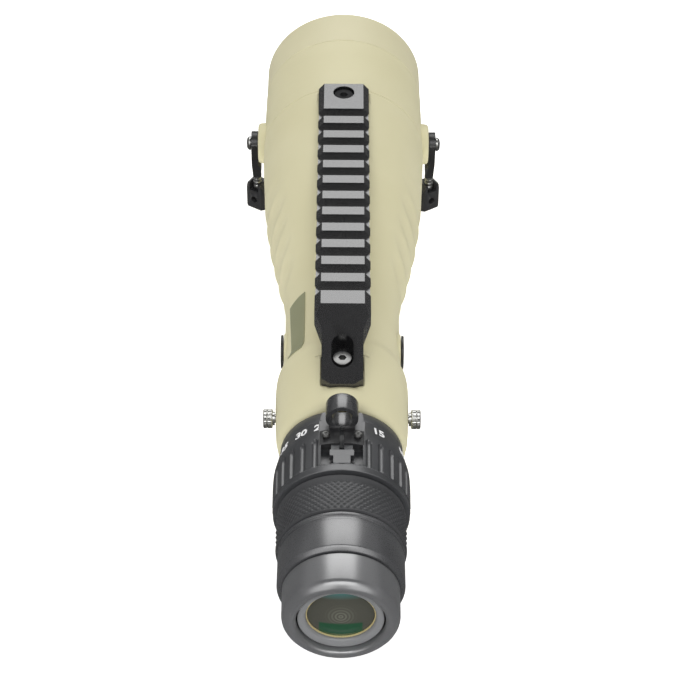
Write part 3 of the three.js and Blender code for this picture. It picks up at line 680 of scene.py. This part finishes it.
hood = turned("sunshade_hood", [
    (32.2, 90), (32.2, 111.5), (34.15, 111.5), (34.4, 111.75), (34.4, 112.1), (34.4, 130.8), (34.4, 131.2),
    (34.1, 132.2, 0.5), (33.4, HOOD_FRONT, 0.3), (32.6, HOOD_FRONT, 0.3), (32.45, 131), (32.4, 113),
    (30.9, 111.2), (30.9, 90)], steps=TUBE_STEPS)
finish(hood, "sunshade", "tan", hood_paint, "sunshade")
ridges = [(30.8, 90.2), (30.8, 111.1), (31.5, 112.2)]
for k in range(17):
    ridges += [(31.5, 113.4 + k), (31.9, 113.9 + k)]
lining = turned("hood_lining", [*ridges, (31.6, 130.6), (32.42, 131), (32.42, 112.95), (30.92, 111.25),
                                (30.92, 90.2)], steps=160)
finish(lining, "sunshade", "inner", inner_black)


# ---------------- objective

def bulged(radius, rear, front, rear_bulge, front_bulge, steps=14):
    """Outline of a lens: (radius, y) from the middle of one face round the rim to the middle of the other."""
    parts = [i / steps for i in range(steps + 1)]
    rear_face = [(radius * part, rear - rear_bulge * (1 - part * part)) for part in parts]
    return rear_face + [(radius * part, front + front_bulge * (1 - part * part)) for part in reversed(parts)]


objective = turned("objective_glass", bulged(29.1, 87.7, 93.7, 2.6, 4), steps=128)
finish(objective, "body", "glass", clear_glass, "objective_lens_front")
objective_rear = turned("objective_glass_rear", bulged(29.1, 82.3, 86.3, 1.6, -3.2), steps=128)
finish(objective_rear, "body", "glass", clear_glass, "objective_lens_rear")
retaining = turned("objective_ring", [
    (26.9, 94.8), (29.1, 94.8), (29.1, 98, 0.3), (27.9, 98, 0.2), (26.9, 96.9, 0.2)])
carve(retaining, *[block("spanner_slot", (x - 1.6, x + 1.6), (96.9, 99), (-1, 1)) for x in (-28, 28)])
soften(retaining, 0.12, 2)
finish(retaining, "body", "black", black_anodised, "objective_retaining_ring")
cell = turned("objective_barrel", [
    (27, 79.3), (30.6, 79.3, 0.3), (30.6, 106, 0.3), (29.9, 106, 0.3), (29.4, 105.2), (29.4, 82), (27, 82)])
finish(cell, "body", "inner", inner_black, "objective_cell")


# ---------------- rail

RAIL_HALF = 10.6
RAIL_TOP_HALF = 8.25
RAIL_PITCH = 10.01
SLOT_LENGTH = 5.23
SLOTS = 12
FIRST_SLOT_FRONT = 55.23
TAIL_HALF = 7.75
POCKET_R = 4.1


def rail_section(top, shoulder, bottom):
    foot_half = RAIL_HALF - (shoulder - bottom)
    return [(-foot_half, bottom), (foot_half, bottom), (RAIL_HALF, shoulder), (RAIL_TOP_HALF, top),
            (-RAIL_TOP_HALF, top), (-RAIL_HALF, shoulder)]


RAIL_Z = RAIL_TOP - AXIS_Z
rail = prism("rail_bar", rail_section(RAIL_Z, RAIL_Z - 2.74, RAIL_Z - 5.3), "y", -65.8, RAIL_FRONT)
tail_side = prism("tail", [(-65.5, 33), (-65.5, RAIL_Z), (-67.4, RAIL_Z), (RAIL_REAR, 26), (RAIL_REAR, 23.2),
                           (-80.4, 23.2), (-66, 33)], "x", -RAIL_HALF, RAIL_HALF)
tail_plan = prism("plan", [
    (-RAIL_HALF, -60), (-RAIL_HALF, -70.4), (-TAIL_HALF, -77), (-TAIL_HALF, -96), (-4.25, RAIL_REAR),
    (4.25, RAIL_REAR), (TAIL_HALF, -96), (TAIL_HALF, -77), (RAIL_HALF, -70.4), (RAIL_HALF, -60)], "z", 20, 45)
combine(tail_side, "INTERSECT", [tail_plan])
weld(rail, tail_side)
cutters = [prism("edge", [(side * RAIL_TOP_HALF, RAIL_Z), (side * 11.6, RAIL_Z - 3.91), (side * 11.6, RAIL_Z + 1)],
                 "y", -100, -65) for side in (-1, 1)]
for k in range(SLOTS):
    front = FIRST_SLOT_FRONT - k * RAIL_PITCH
    cutters.append(block("slot", (-20, 20), (front - SLOT_LENGTH, front), (RAIL_Z - 3, 45)))
pocket = [(POCKET_R * math.sin(a * DEG), -83.4 + POCKET_R * math.cos(a * DEG)) for a in range(-90, 91, 9)]
pocket += [(POCKET_R * math.sin(a * DEG), -87.8 + POCKET_R * math.cos(a * DEG)) for a in range(90, 271, 9)]
cutters += [
    spin_z("counterbore", [(0, RAIL_Z - 3.6), (4.45, RAIL_Z - 3.6), (4.45, 39), (0, 39)], FRONT_SCREW_AT),
    spin_z("through_front", [(0, 30), (2.6, 30), (2.6, 37), (0, 37)], FRONT_SCREW_AT),
    prism("pocket", pocket, "z", 24.7, 45),
    spin_z("through_rear", [(0, 20), (2, 20), (2, 26), (0, 26)], REAR_SCREW_AT),
]
carve(rail, *cutters)
soften(rail, 0.3, 3, 15)
finish(rail, "body", "black", black_anodised, "rail")


def socket_screw(name, at, bottom, top, head_r, shank_r, shank_low, key, key_depth, slot, material, node):
    """A cap screw with a rounded head edge and a hexagon socket, standing along Z."""
    head = [(0, shank_low), (shank_r, shank_low, 0.2), (shank_r, bottom), (head_r, bottom, 0.15),
            (head_r, top, 0.35), (0, top)]
    screw = spin_z(name, head, at, 48)
    carve(screw, prism("key", circle(key, at[:2], 6), "z", top - key_depth, top + 1))
    soften(screw, 0.08, 2)
    return finish(screw, "body", slot, material, node)


socket_screw("front_cap_screw", FRONT_SCREW_AT, RAIL_Z - 3.3, RAIL_Z - 1.1, 4.1, 2.2, 30.4, 1.8, 1.4, "black",
             inner_black, "rail_screw_front")
socket_screw("rear_cap_screw", REAR_SCREW_AT, 25, 28.2, 3.6, 1.7, 20.2, 1.5, 2.4, "steel", dull_zinc,
             "rail_screw_rear")


# ---------------- mounting foot

foot = prism("dovetail_foot", [(-19, -43), (19, -43), (19, -41), (15, -38.5), (15, -35.3), (-15, -35.3),
                               (-15, -38.5), (-19, -41)], "y", FOOT_REAR, FOOT_FRONT)
carve(
    foot, spin_z("socket", [(0, -45), (2.55, -45), (2.55, -33), (0, -33)], (0, 12, 0)),
    *[spin_z("recess", [(0, -45), (4.2, -45), (4.2, -38.8), (2.3, -38.8), (2.3, -33), (0, -33)], (0, y, 0))
      for y in (FOOT_SCREW_Y, -FOOT_SCREW_Y)],
    *[block("grip", (-16, 16), (y - 0.6, y + 0.6), (-43.5, -42.5)) for y in (-34, -31.5, 31.5, 34)],
)
soften(foot, 0.35, 3)
finish(foot, "body", "black", black_anodised, "mounting_foot")
for name, y in [("front", FOOT_SCREW_Y), ("rear", -FOOT_SCREW_Y)]:
    screw = spin_z("foot_cap_screw_" + name, [
        (0, -41.8), (3.8, -41.8, 0.3), (3.8, -39.1), (2, -39.1), (2, -29.5, 0.3), (0, -29.5)], (0, y, 0), 48)
    carve(screw, prism("key", circle(1.7, (0, y), 6), "z", -43, -40.3))
    soften(screw, 0.08, 2)
    finish(screw, "body", "black", black_fittings, "foot_screw_" + name)


# ---------------- blank plate on the neck

def curved_plate(name, corners, lift, thickness, columns=20, rows=24):
    """A plate that lies on the body. Its corners are (degrees left of the top, y): the two nearer the top from
    front to rear, then the two lower ones from rear to front."""
    (a0, y0), (a1, y1), (a2, y2), (a3, y3) = corners
    points, faces = [], []
    for i in range(rows + 1):
        for j in range(columns + 1):
            u, v = i / rows, j / columns
            angle = ((a0 * (1 - u) + a1 * u) * (1 - v) + (a3 * (1 - u) + a2 * u) * v) * DEG
            y = (y0 * (1 - u) + y1 * u) * (1 - v) + (y3 * (1 - u) + y2 * u) * v
            radius = level(BODY_LINE, y) + lift
            points.append((-radius * math.sin(angle), y, radius * math.cos(angle) + AXIS_Z))
    for i in range(rows):
        for j in range(columns):
            k = i * (columns + 1) + j
            faces.append((k, k + 1, k + columns + 2, k + columns + 1))
    plate = new_piece(name, points, [], faces)
    solid = plate.modifiers.new("thickness", "SOLIDIFY")
    solid.thickness = thickness * MM
    solid.offset = 0
    return plate


plate = curved_plate("blank_plate", [(40.5, -37), (39.5, -71), (57, -71.5), (65.5, -38.5)], 0.12, 0.4)
settle(plate)
soften(plate, 0.12, 2)
finish(plate, "body", "olive", olive_plate, "label_plate")


# ---------------- port caps, lock screws, strap swivels

KNOB_RIDGES = 24
KNOB_RIDGE_R = 3.6
KNOB_RIDGE_DEPTH = 0.055
KEEPER_TOE_IN = 32

for name, side in BOTH_SIDES:
    cap = spin_x("port_cover_" + name, [
        (0, 20.4), (3.5, 20.4, 0.2), (3.5, 23), (6.55, 23, 0.2), (6.55, 23.9, 0.35), (5.3, 23.9, 0.15),
        (5, 23.5, 0.15), (0, 23.5)], CAP_AT, side, 72)
    finish(cap, "body", "plastic", black_plastic, "port_cap_" + name)

    head = spin_x("lock_knob_" + name, [
        (0, 19.6), (1.6, 19.6, 0.2), (1.6, 25.3), (2.6, 25.3), (2.6, 26.1), (3.4, 26.1), (3.7, 26.4), (3.7, 27.9),
        (3.42, 28.05), (3.42, 28.2), (3.7, 28.35), (3.7, 29.2), (3.3, 29.6), (2.2, 29.6), (1.9, 29.25), (0, 29.25)],
        (0, LOCK_Y, 0), side, 120)
    for vertex in head.data.vertices:
        dy, dz = vertex.co.y / MM - LOCK_Y, vertex.co.z / MM - AXIS_Z
        if math.hypot(dy, dz) > KNOB_RIDGE_R:
            grow = 1 - KNOB_RIDGE_DEPTH * (0.5 + 0.5 * math.cos(KNOB_RIDGES * math.atan2(dz, dy)))
            vertex.co.y, vertex.co.z = (dy * grow + LOCK_Y) * MM, (dz * grow + AXIS_Z) * MM
    tidy_mesh(head, 30)
    finish(head, "thumbscrew_" + name, "steel", bright_steel, "thumbscrew_" + name)

    screw = spin_x("swivel_pivot_" + name, [
        (0, 35.3), (1.4, 35.3, 0.2), (1.4, 40.8), (3, 40.8, 0.15), (3, 41.6, 0.3), (2.2, 42.4), (1.2, 42.6),
        (0, 42.6)], SWIVEL_AT, side, 56)
    carve(screw, block("slot", (41.9, 44) if side > 0 else (-44, -41.9), (79, 89), (-2.1, -1.3)))
    soften(screw, 0.08, 2)
    finish(screw, "body", "steel", bright_steel, "swivel_screw_" + name)

    arm = prism("arm", [(78.7, 0.3), (79.8, -17.5), (88.2, -17.5), (89.3, 0.3)], "x", *sorted((side * 34, side * 46)))
    weld(arm, spin_x("eye", [(0, 34), (5.3, 34), (5.3, 46), (0, 46)], SWIVEL_AT, side, 64))
    profile = prism("profile", [(side * x, z) for x, z in [
        (37.7, 5), (40.5, 5), (40.5, -10), (40.3, -13), (40, -17.5), (36.5, -17.5), (36.5, -12.2), (37.7, -10.6)]],
        "y", 76, 92)
    combine(arm, "INTERSECT", [profile])
    carve(arm, spin_x("eye_hole", [(0, 30), (1.8, 30), (1.8, 50), (0, 50)], SWIVEL_AT, side))
    soften(arm, 0.55, 4)
    arm.name = "swivel_strap_" + name
    finish(arm, "swivel_" + name, "black", black_fittings, "swivel_arm_" + name)

    ribs = [(0, -26.4), (1.6, -26.4, 0.15)]
    for k in range(4):
        ribs += [(1.95, -25.2 + 1.85 * k, 0.1), (1.95, -24.3 + 1.85 * k, 0.1), (1.5, -24 + 1.85 * k),
                 (1.5, -23.5 + 1.85 * k)]
    hang = (side * SWIVEL_X, SWIVEL_AT[1], 0)
    pin = spin_z("swivel_shaft_" + name, [*ribs, (1.7, -17.8), (0, -17.8)], hang, 48)
    finish(pin, "swivel_" + name, "steel", bright_steel, "swivel_pin_" + name)

    corners = [(-4.7, -1.8), (-3.5, -3), (3.5, -3), (4.7, -1.8), (4.7, 1.8), (3.5, 3), (-3.5, 3), (-4.7, 1.8)]
    keeper = prism("strap_keeper_" + name, corners, "z", -36.4, -22.4)
    carve(
        keeper,
        spin_z("shaft_hole", [(0, -26.7), (2.1, -26.7), (2.1, -15), (0, -15)], (0, 0, 0)),
        prism("webbing_slot", circle(1.6, (0, -31.5), 32), "y", -10, 10),
        block("shaft_fork", (-2.3, 2.3), (-4, 0), (-26.6, -20)),
        *[prism("shoulder", [(x * 5, -27.5), (x * 5, -21), (x * 2.6, -21)], "y", -6, 6) for x in (-1, 1)],
    )
    soften(keeper, 0.9, 4)
    settle(keeper, Matrix.Translation(Vector(hang) * MM) @ Matrix.Rotation(side * KEEPER_TOE_IN * DEG, 4, "Z"))
    tidy_mesh(keeper, 40)
    finish(keeper, "keeper_" + name, "plastic", black_plastic, "keeper_" + name)


# ---------------- zoom ring and throw lever

ZOOM_LINE = through([
    (-111.5, 22.85), (-116.6, 23.7), (-121.7, 24.75), (-126.7, 25), (-134, 24.95), (-139.3, 24.9)], 62)
DIAL_Y = -116.6
DIAL_HEIGHT = 3.6
LEVER_SCREW_X, LEVER_SCREW_Y = 5.8, -122.6
LEVER_TUBE_Z = 27.5
AT_TUBE = AT_AXIS @ Matrix.Translation((0, 0, LEVER_TUBE_Z * MM))
SLIT = (-0.85, 0.85), (-129.7, -117), (10, 25.5)
FLUTES = 32
FLUTE_HALF_WIDTH = 2.7
FLUTE_DEPTH = 0.95
FLUTE_FRONT = -124.6
FLUTE_REAR = -136.9


def flutes(angle, y, radius):
    """Round-bottomed grip flutes with rounded front ends, closed by the rear rim."""
    if radius < 21 or y > FLUTE_FRONT + 1.2:
        return 0
    pitch = 360 / FLUTES
    off = abs((angle + pitch / 2) % pitch - pitch / 2)
    end = max(0, (y - FLUTE_FRONT + 1.6) / 2.6)
    reach = math.hypot(off / FLUTE_HALF_WIDTH, end)
    if reach >= 1 or y < FLUTE_REAR:
        return 0
    return -FLUTE_DEPTH * math.sqrt(1 - reach * reach)


zoom = turned("zoom_grip", [
    (19.3, ZOOM_FRONT), (22.35, ZOOM_FRONT), (22.65, -108.6), (22.75, -112.3), (22.6, -112.45), (22.6, -112.7),
    *[p for p in ZOOM_LINE if -137 < p[1] < -112.8], (24.75, -137.1), (24.6, -137.25), (24.6, -139.7),
    (24.4, ZOOM_REAR), (19.3, ZOOM_REAR)], steps=512)
reshape(zoom, flutes, 40)
carve(
    zoom,
    block("lever_seat", (-8.3, 8.3), (-127, -107), (21.4, 40)),
    block("tongue_seat", (-7.5, 7.5), (-136.8, -126), (19.9, 40)),
    *[spin_z("screw_hole", [(0, 10), (1.1, 10), (1.1, 30), (0, 30)], (x, LEVER_SCREW_Y, 0), 24)
      for x in (-LEVER_SCREW_X, LEVER_SCREW_X)],
)
tidy_mesh(zoom, 40)
finish(zoom, "zoom_ring", "grey", flute_anodised, "zoom_ring")


def dial_number(text, angle):
    """A painted number wrapped round the zoom ring, its top towards the objective."""
    curve = bpy.data.curves.new("number_" + text, "FONT")
    curve.body = text
    curve.align_x = "CENTER"
    curve.offset = 0.028
    curve.extrude = 0.05
    curve.resolution_u = 4
    letters = add_object("number_" + text, curve)
    bpy.context.view_layer.update()
    mesh = bpy.data.meshes.new_from_object(letters.evaluated_get(bpy.context.evaluated_depsgraph_get()))
    bpy.data.objects.remove(letters)
    bpy.data.curves.remove(curve)
    low = min(v.co.y for v in mesh.vertices)
    high = max(v.co.y for v in mesh.vertices)
    scale = DIAL_HEIGHT / (high - low)
    for vertex in mesh.vertices:
        y = DIAL_Y + (vertex.co.y - (low + high) / 2) * scale
        radius = level(ZOOM_LINE, y)
        turn = angle * DEG + vertex.co.x * scale * 1.12 / radius
        radius += 0.09 if vertex.co.z > 0 else -0.15
        vertex.co = Vector((radius * math.sin(turn), y, radius * math.cos(turn) + AXIS_Z)) * MM
    number = add_object("number_" + text, mesh)
    tidy_mesh(number)
    if abs(angle) < 30:
        carve(number, block("lever_seat", (-8.4, 8.4), (-127, -107), (15, 40)))
    return finish(number, "zoom_ring", "plastic", dial_white)


# The throw lever sits over the number 20.
for text, angle in [("8", 88), ("10", 67), ("15", 34), ("25", -18.6), ("30", -38.5), ("35", -62), ("40", -84)]:
    dial_number(text, angle)

lever = turned("throw_lever_bar", [
    (4.03, -117.7, 0.15), (5.9, -117.7, 0.25), (5.9, -110.2, 0.4), (4.03, -110.2, 0.2)],
    steps=96, place=AT_TUBE)
base_top = [(24.55 * math.sin(a * DEG), 24.55 * math.cos(a * DEG)) for a in range(19, -20, -2)]
base = prism("base", [(-8, 21.5), (8, 21.5), *base_top], "y", -126.7, -118.2)
tongue = block("throw_lever_tongue", (-3.9, 3.9), (-131, -126.75), (21.7, 24.2))
for sloped, front in [(base, -119), (tongue, -127)]:
    for vertex in sloped.data.vertices:
        if vertex.co.y / MM > front and vertex.co.z / MM > AXIS_Z + 22:
            vertex.co.z -= (1.45 if sloped is base else 0.5) * MM
foot_of_lever = block("throw_lever_foot", (-4.6, 4.6), (-119, -110.4), (21.7, 24.2))
weld(foot_of_lever, base)
weld(
    tongue,
    block("bar", (-4.35, 4.35), (-132.8, -129.9), (21.7, 24.5)),
    block("stem", (-3.1, 3.1), (-136.5, -132.7), (21.7, 24.5)),
)
carve(
    foot_of_lever,
    block("slit", *SLIT),
    turned("tube_seat", [(0, -117.75), (5.95, -117.75), (5.95, -100), (0, -100)], steps=96, place=AT_TUBE),
    *[spin_z("hole", [(0, 10), (1.1, 10), (1.1, 23.6), (1.95, 23.6), (1.95, 30), (0, 30)], (x, LEVER_SCREW_Y, 0),
             32) for x in (-LEVER_SCREW_X, LEVER_SCREW_X)],
)
soften(foot_of_lever, 0.14, 2, 30)
finish(foot_of_lever, "zoom_ring", "black", foot_finish)
carve(tongue, block("slit", *SLIT))
soften(tongue, 0.14, 2, 30)
finish(tongue, "zoom_ring", "black", flute_anodised)
finish(lever, "zoom_ring", "black", lever_anodised, "throw_lever")
for name, side in BOTH_SIDES:
    at = (side * LEVER_SCREW_X, LEVER_SCREW_Y, 0)
    screw = spin_z("lever_cap_screw_" + name, [
        (0, 19.8), (0.8, 19.8), (0.8, 24.1), (1.5, 24.1), (1.5, 24.6, 0.15), (1.15, 25.25), (0.5, 25.55),
        (0, 25.6)], at, 40)
    carve(screw, prism("key", circle(0.55, at[:2], 6), "z", 25, 27))
    finish(screw, "zoom_ring", "steel", dull_zinc, "lever_screw_" + name)


# ---------------- focus ring, dioptre ring, eyecup

KNURLS = 66
KNURL_ROW = 2.28
KNURL_FRONT, KNURL_REAR = -144.1, -156.64
KNURL_DEPTH = 0.42
KNURL_LINES = 44


def diamond_knurl(angle, y, radius):
    """Two crossing sets of fine grooves that leave small diamonds."""
    if radius < 22 or not KNURL_REAR <= y <= KNURL_FRONT:
        return 0
    along = (y - KNURL_REAR) / KNURL_ROW
    round_the_ring = angle / 360 * KNURLS
    ways = [abs((round_the_ring + sign * along + 0.5) % 1 - 0.5) * 2 for sign in (-1, 1)]
    return -KNURL_DEPTH * (1 - min(1, 1.05 * min(ways)))


knurl_line = [(23.55 - 0.3 * i / KNURL_LINES, KNURL_FRONT + (KNURL_REAR - KNURL_FRONT) * i / KNURL_LINES)
              for i in range(KNURL_LINES + 1)]
focus = turned("focus_grip", [
    (18.9, FOCUS_FRONT), (23.2, FOCUS_FRONT), (22.55, -143.5), (22.5, -143.85),
    *knurl_line, (23.2, FOCUS_REAR + 0.15), (23.05, FOCUS_REAR),
    (16.7, FOCUS_REAR), (16.7, -154.5), (18.9, -154.5)], steps=KNURLS * 8)
reshape(focus, diamond_knurl, 50)
finish(focus, "focus_ring", "grey", knurl_anodised, "focus_ring")

dioptre = turned("dioptre_collar", [
    (16.7, DIOPTRE_FRONT), (22.0, DIOPTRE_FRONT, 0.2), (22.4, DIOPTRE_FRONT - 0.5), (22.4, -158.5, 0.15),
    (21.6, -158.9, 0.15), (21.6, -160.2, 0.15), (22.4, -160.7, 0.25), (22.4, -172.9, 0.25),
    (21.0, DIOPTRE_REAR, 0.2), (19, DIOPTRE_REAR), (19, -160.5), (16.7, -160.5)], steps=TUBE_STEPS)
finish(dioptre, "dioptre_ring", "grey", grey_anodised, "dioptre_ring")

cup = turned("rubber_eyecup", [
    (18.7, CUP_FRONT), (20.2, CUP_FRONT, 0.2), (20.5, CUP_FRONT - 0.4), (20.45, -185.9), (20.3, -186.7),
    (19.95, -187.4), (19.3, -188.15), (18.65, -188.8), (18.1, -189.2), (17.5, CUP_REAR), (17.0, CUP_REAR),
    (16.2, -189.1), (15.7, -188.6), (15.45, -187.8), (15.4, -186.2), (16.9, -186.2), (16.9, -162), (18.7, -162)],
    steps=TUBE_STEPS)
finish(cup, "eyecup", "rubber", cup_rubber, "eyecup")

RETAINER_R = 14.5
spanner = turned("eye_ring", [
    (12.1, -184.3), (14.9, -184.3), (14.9, -186.9, 0.2), (14.2, -186.9, 0.1), (12.6, -186.3, 0.2),
    (12.1, -185.6, 0.2)], steps=160)
carve(spanner, *[block("notch", (x - 0.3, x + 0.3), (-187.2, -186.2), (math.sqrt(RETAINER_R ** 2 - x * x) - 0.7, 16))
                 for x in (-6, -3, 0, 3, 6)])
tidy_mesh(spanner)
finish(spanner, "eye_group", "black", satin_ring, "eye_lens_retainer")
eye_barrel = turned("eye_barrel", [(12, -184), (14.9, -184), (14.9, -153), (12, -153)], steps=128)
finish(eye_barrel, "eye_group", "inner", inner_black, "eye_cell")
eye_glass = turned("eye_glass", bulged(11.7, -184.6, -179, 1.9, 1.2, 20), steps=128)
finish(eye_glass, "eye_group", "glass", eye_painted_reflections, "eye_lens")
lens_edge = turned("lens_edge", [(11.72, -184.2), (12.05, -184.2), (12.05, -185.1, 0.12), (11.72, -185.3, 0.12)],
                   steps=160)
finish(lens_edge, "eye_group", "steel", brass)
field_glass = turned("field_glass", bulged(11.7, -161, -157, 1.5, 0.8), steps=128)
finish(field_glass, "eye_group", "glass", clear_glass, "field_lens")


# ---------------- pieces kept from the frame

KEPT = {
    inner_black: ["light_baffle", "focus_cell", "prism_cage", "field_stop"],
    black_anodised: ["objective_spacer", "eyepiece_tube", "zoom_cell_front", "zoom_cell_rear"],
    bright_steel: ["focus_push_rod", "focus_nut", "zoom_cam_sleeve", "zoom_drive_pin"],
    clear_glass: ["focus_lens", "roof_prism", "half_prism", "zoom_lens_front", "zoom_lens_rear"],
    cup_rubber: ["housing_seal"],
}
for material, names in KEPT.items():
    for name in names:
        for slot_of_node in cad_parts[name].material_slots:
            slot_of_node.material = material


# ---------------- floor, lights, camera

floor_mesh = bpy.data.meshes.new("floor")
floor_mesh.from_pydata([(-4, -4, 0), (4, -4, 0), (4, 4, 0), (-4, 4, 0)], [], [(0, 1, 2, 3)])
floor = add_object("floor", floor_mesh)
floor_material, floor_nodes, floor_links = start_material("pale floor")
floor_place = floor_nodes.new("ShaderNodeTexCoord")
floor_place.label = "place on the floor"
floor_mottle = floor_nodes.new("ShaderNodeTexNoise")
floor_mottle.label = "barely uneven paper"
floor_mottle.inputs["Scale"].default_value = 3
floor_tone = floor_nodes.new("ShaderNodeMix")
floor_tone.label = "paper tone"
floor_tone.data_type = "RGBA"
floor_tone.inputs["A"].default_value = (0.95, 0.95, 0.95, 1)
floor_tone.inputs["B"].default_value = (0.97, 0.97, 0.97, 1)
floor_shader = floor_nodes.new("ShaderNodeBsdfPrincipled")
floor_shader.label = "paper"
floor_shader.inputs["Roughness"].default_value = 0.9
floor_shader.inputs["Emission Color"].default_value = (1, 1, 1, 1)
floor_shader.inputs["Emission Strength"].default_value = 0.6
floor_shader.inputs["Specular IOR Level"].default_value = 0.1
floor_output = floor_nodes.new("ShaderNodeOutputMaterial")
floor_output.label = "surface"
floor_links.new(floor_place.outputs["Object"], floor_mottle.inputs["Vector"])
floor_links.new(floor_mottle.outputs["Fac"], floor_tone.inputs["Factor"])
floor_links.new(floor_tone.outputs["Result"], floor_shader.inputs["Base Color"])
floor_links.new(floor_shader.outputs["BSDF"], floor_output.inputs["Surface"])
lay_out(floor_nodes, [[floor_place], [floor_mottle], [floor_tone], [floor_shader], [floor_output]])
floor_mesh.materials.append(floor_material)
floor.visible_glossy = False

world = bpy.data.worlds.new("studio")
bpy.context.scene.world = world
world.use_nodes = True
sky = world.node_tree.nodes
sky_links = world.node_tree.links
sky.clear()
sky_place = sky.new("ShaderNodeTexCoord")
sky_place.label = "direction"
sky_split = sky.new("ShaderNodeSeparateXYZ")
sky_split.label = "height of the direction"
sky_height = sky.new("ShaderNodeMapRange")
sky_height.label = "from straight down to straight up"
sky_height.inputs["From Min"].default_value = -1
sky_height.inputs["From Max"].default_value = 1
sky_ramp = sky.new("ShaderNodeValToRGB")
sky_ramp.label = "white walls, dark ceiling"
sky_ramp.color_ramp.elements[0].position = 0.5
sky_ramp.color_ramp.elements[0].color = (0.22, 0.22, 0.22, 1)
sky_ramp.color_ramp.elements[1].position = 0.97
sky_ramp.color_ramp.elements[1].color = (0.05, 0.05, 0.05, 1)
for position, level_of_light in [(0.56, 0.12), (0.66, 0.62), (0.84, 0.55)]:
    stop = sky_ramp.color_ramp.elements.new(position)
    stop.color = (level_of_light, level_of_light, level_of_light, 1)
sky_light = sky.new("ShaderNodeBackground")
sky_light.label = "studio walls"
sky_light.inputs["Strength"].default_value = 0.66
sky_output = sky.new("ShaderNodeOutputWorld")
sky_output.label = "surroundings"
sky_links.new(sky_place.outputs["Generated"], sky_split.inputs["Vector"])
sky_links.new(sky_split.outputs["Z"], sky_height.inputs["Value"])
sky_links.new(sky_height.outputs["Result"], sky_ramp.inputs["Fac"])
sky_links.new(sky_ramp.outputs["Color"], sky_light.inputs["Color"])
sky_links.new(sky_light.outputs["Background"], sky_output.inputs["Surface"])
lay_out(sky, [[sky_place], [sky_split], [sky_height], [sky_ramp], [sky_light], [sky_output]])


LAMP_DISTANCE = 2.4
LAMP_AIM = Vector((0, 0, 0.04))


def soft_box(name, azimuth, elevation, width, height, power):
    """A rectangular lamp that faces the scope. Its azimuth goes from +Y towards +X."""
    data = bpy.data.lights.new(name, "AREA")
    data.shape = "RECTANGLE"
    data.size = width
    data.size_y = height
    data.energy = power
    lamp = add_object(name, data)
    flat = LAMP_DISTANCE * math.cos(elevation * DEG)
    lamp.location = (flat * math.sin(azimuth * DEG), flat * math.cos(azimuth * DEG),
                     LAMP_DISTANCE * math.sin(elevation * DEG))
    lamp.rotation_euler = (LAMP_AIM - lamp.location).to_track_quat("-Z", "Y").to_euler()


soft_box("front_box", 0, 48, 2.0, 1.4, 29)
soft_box("rear_box", 180, 57, 2.2, 0.9, 27)
soft_box("left_box", -150, 30, 1.4, 1.2, 8.5)
soft_box("right_box", 150, 30, 1.4, 1.2, 8.5)

CAMERA_PITCH = 42.54
CAMERA_ROLL = 0.4
camera_data = bpy.data.cameras.new("camera")
camera_data.lens = 106.35
camera_data.sensor_width = 36
camera_data.clip_start = 0.01
camera = add_object("camera", camera_data)
camera.location = (-0.0013, -0.62603, 0.5758)
camera.rotation_euler = (Matrix.Rotation((90 - CAMERA_PITCH) * DEG, 3, "X")
                         @ Matrix.Rotation(CAMERA_ROLL * DEG, 3, "Z")).to_euler()
bpy.context.scene.camera = camera
bpy.context.scene.view_settings.view_transform = "Standard"
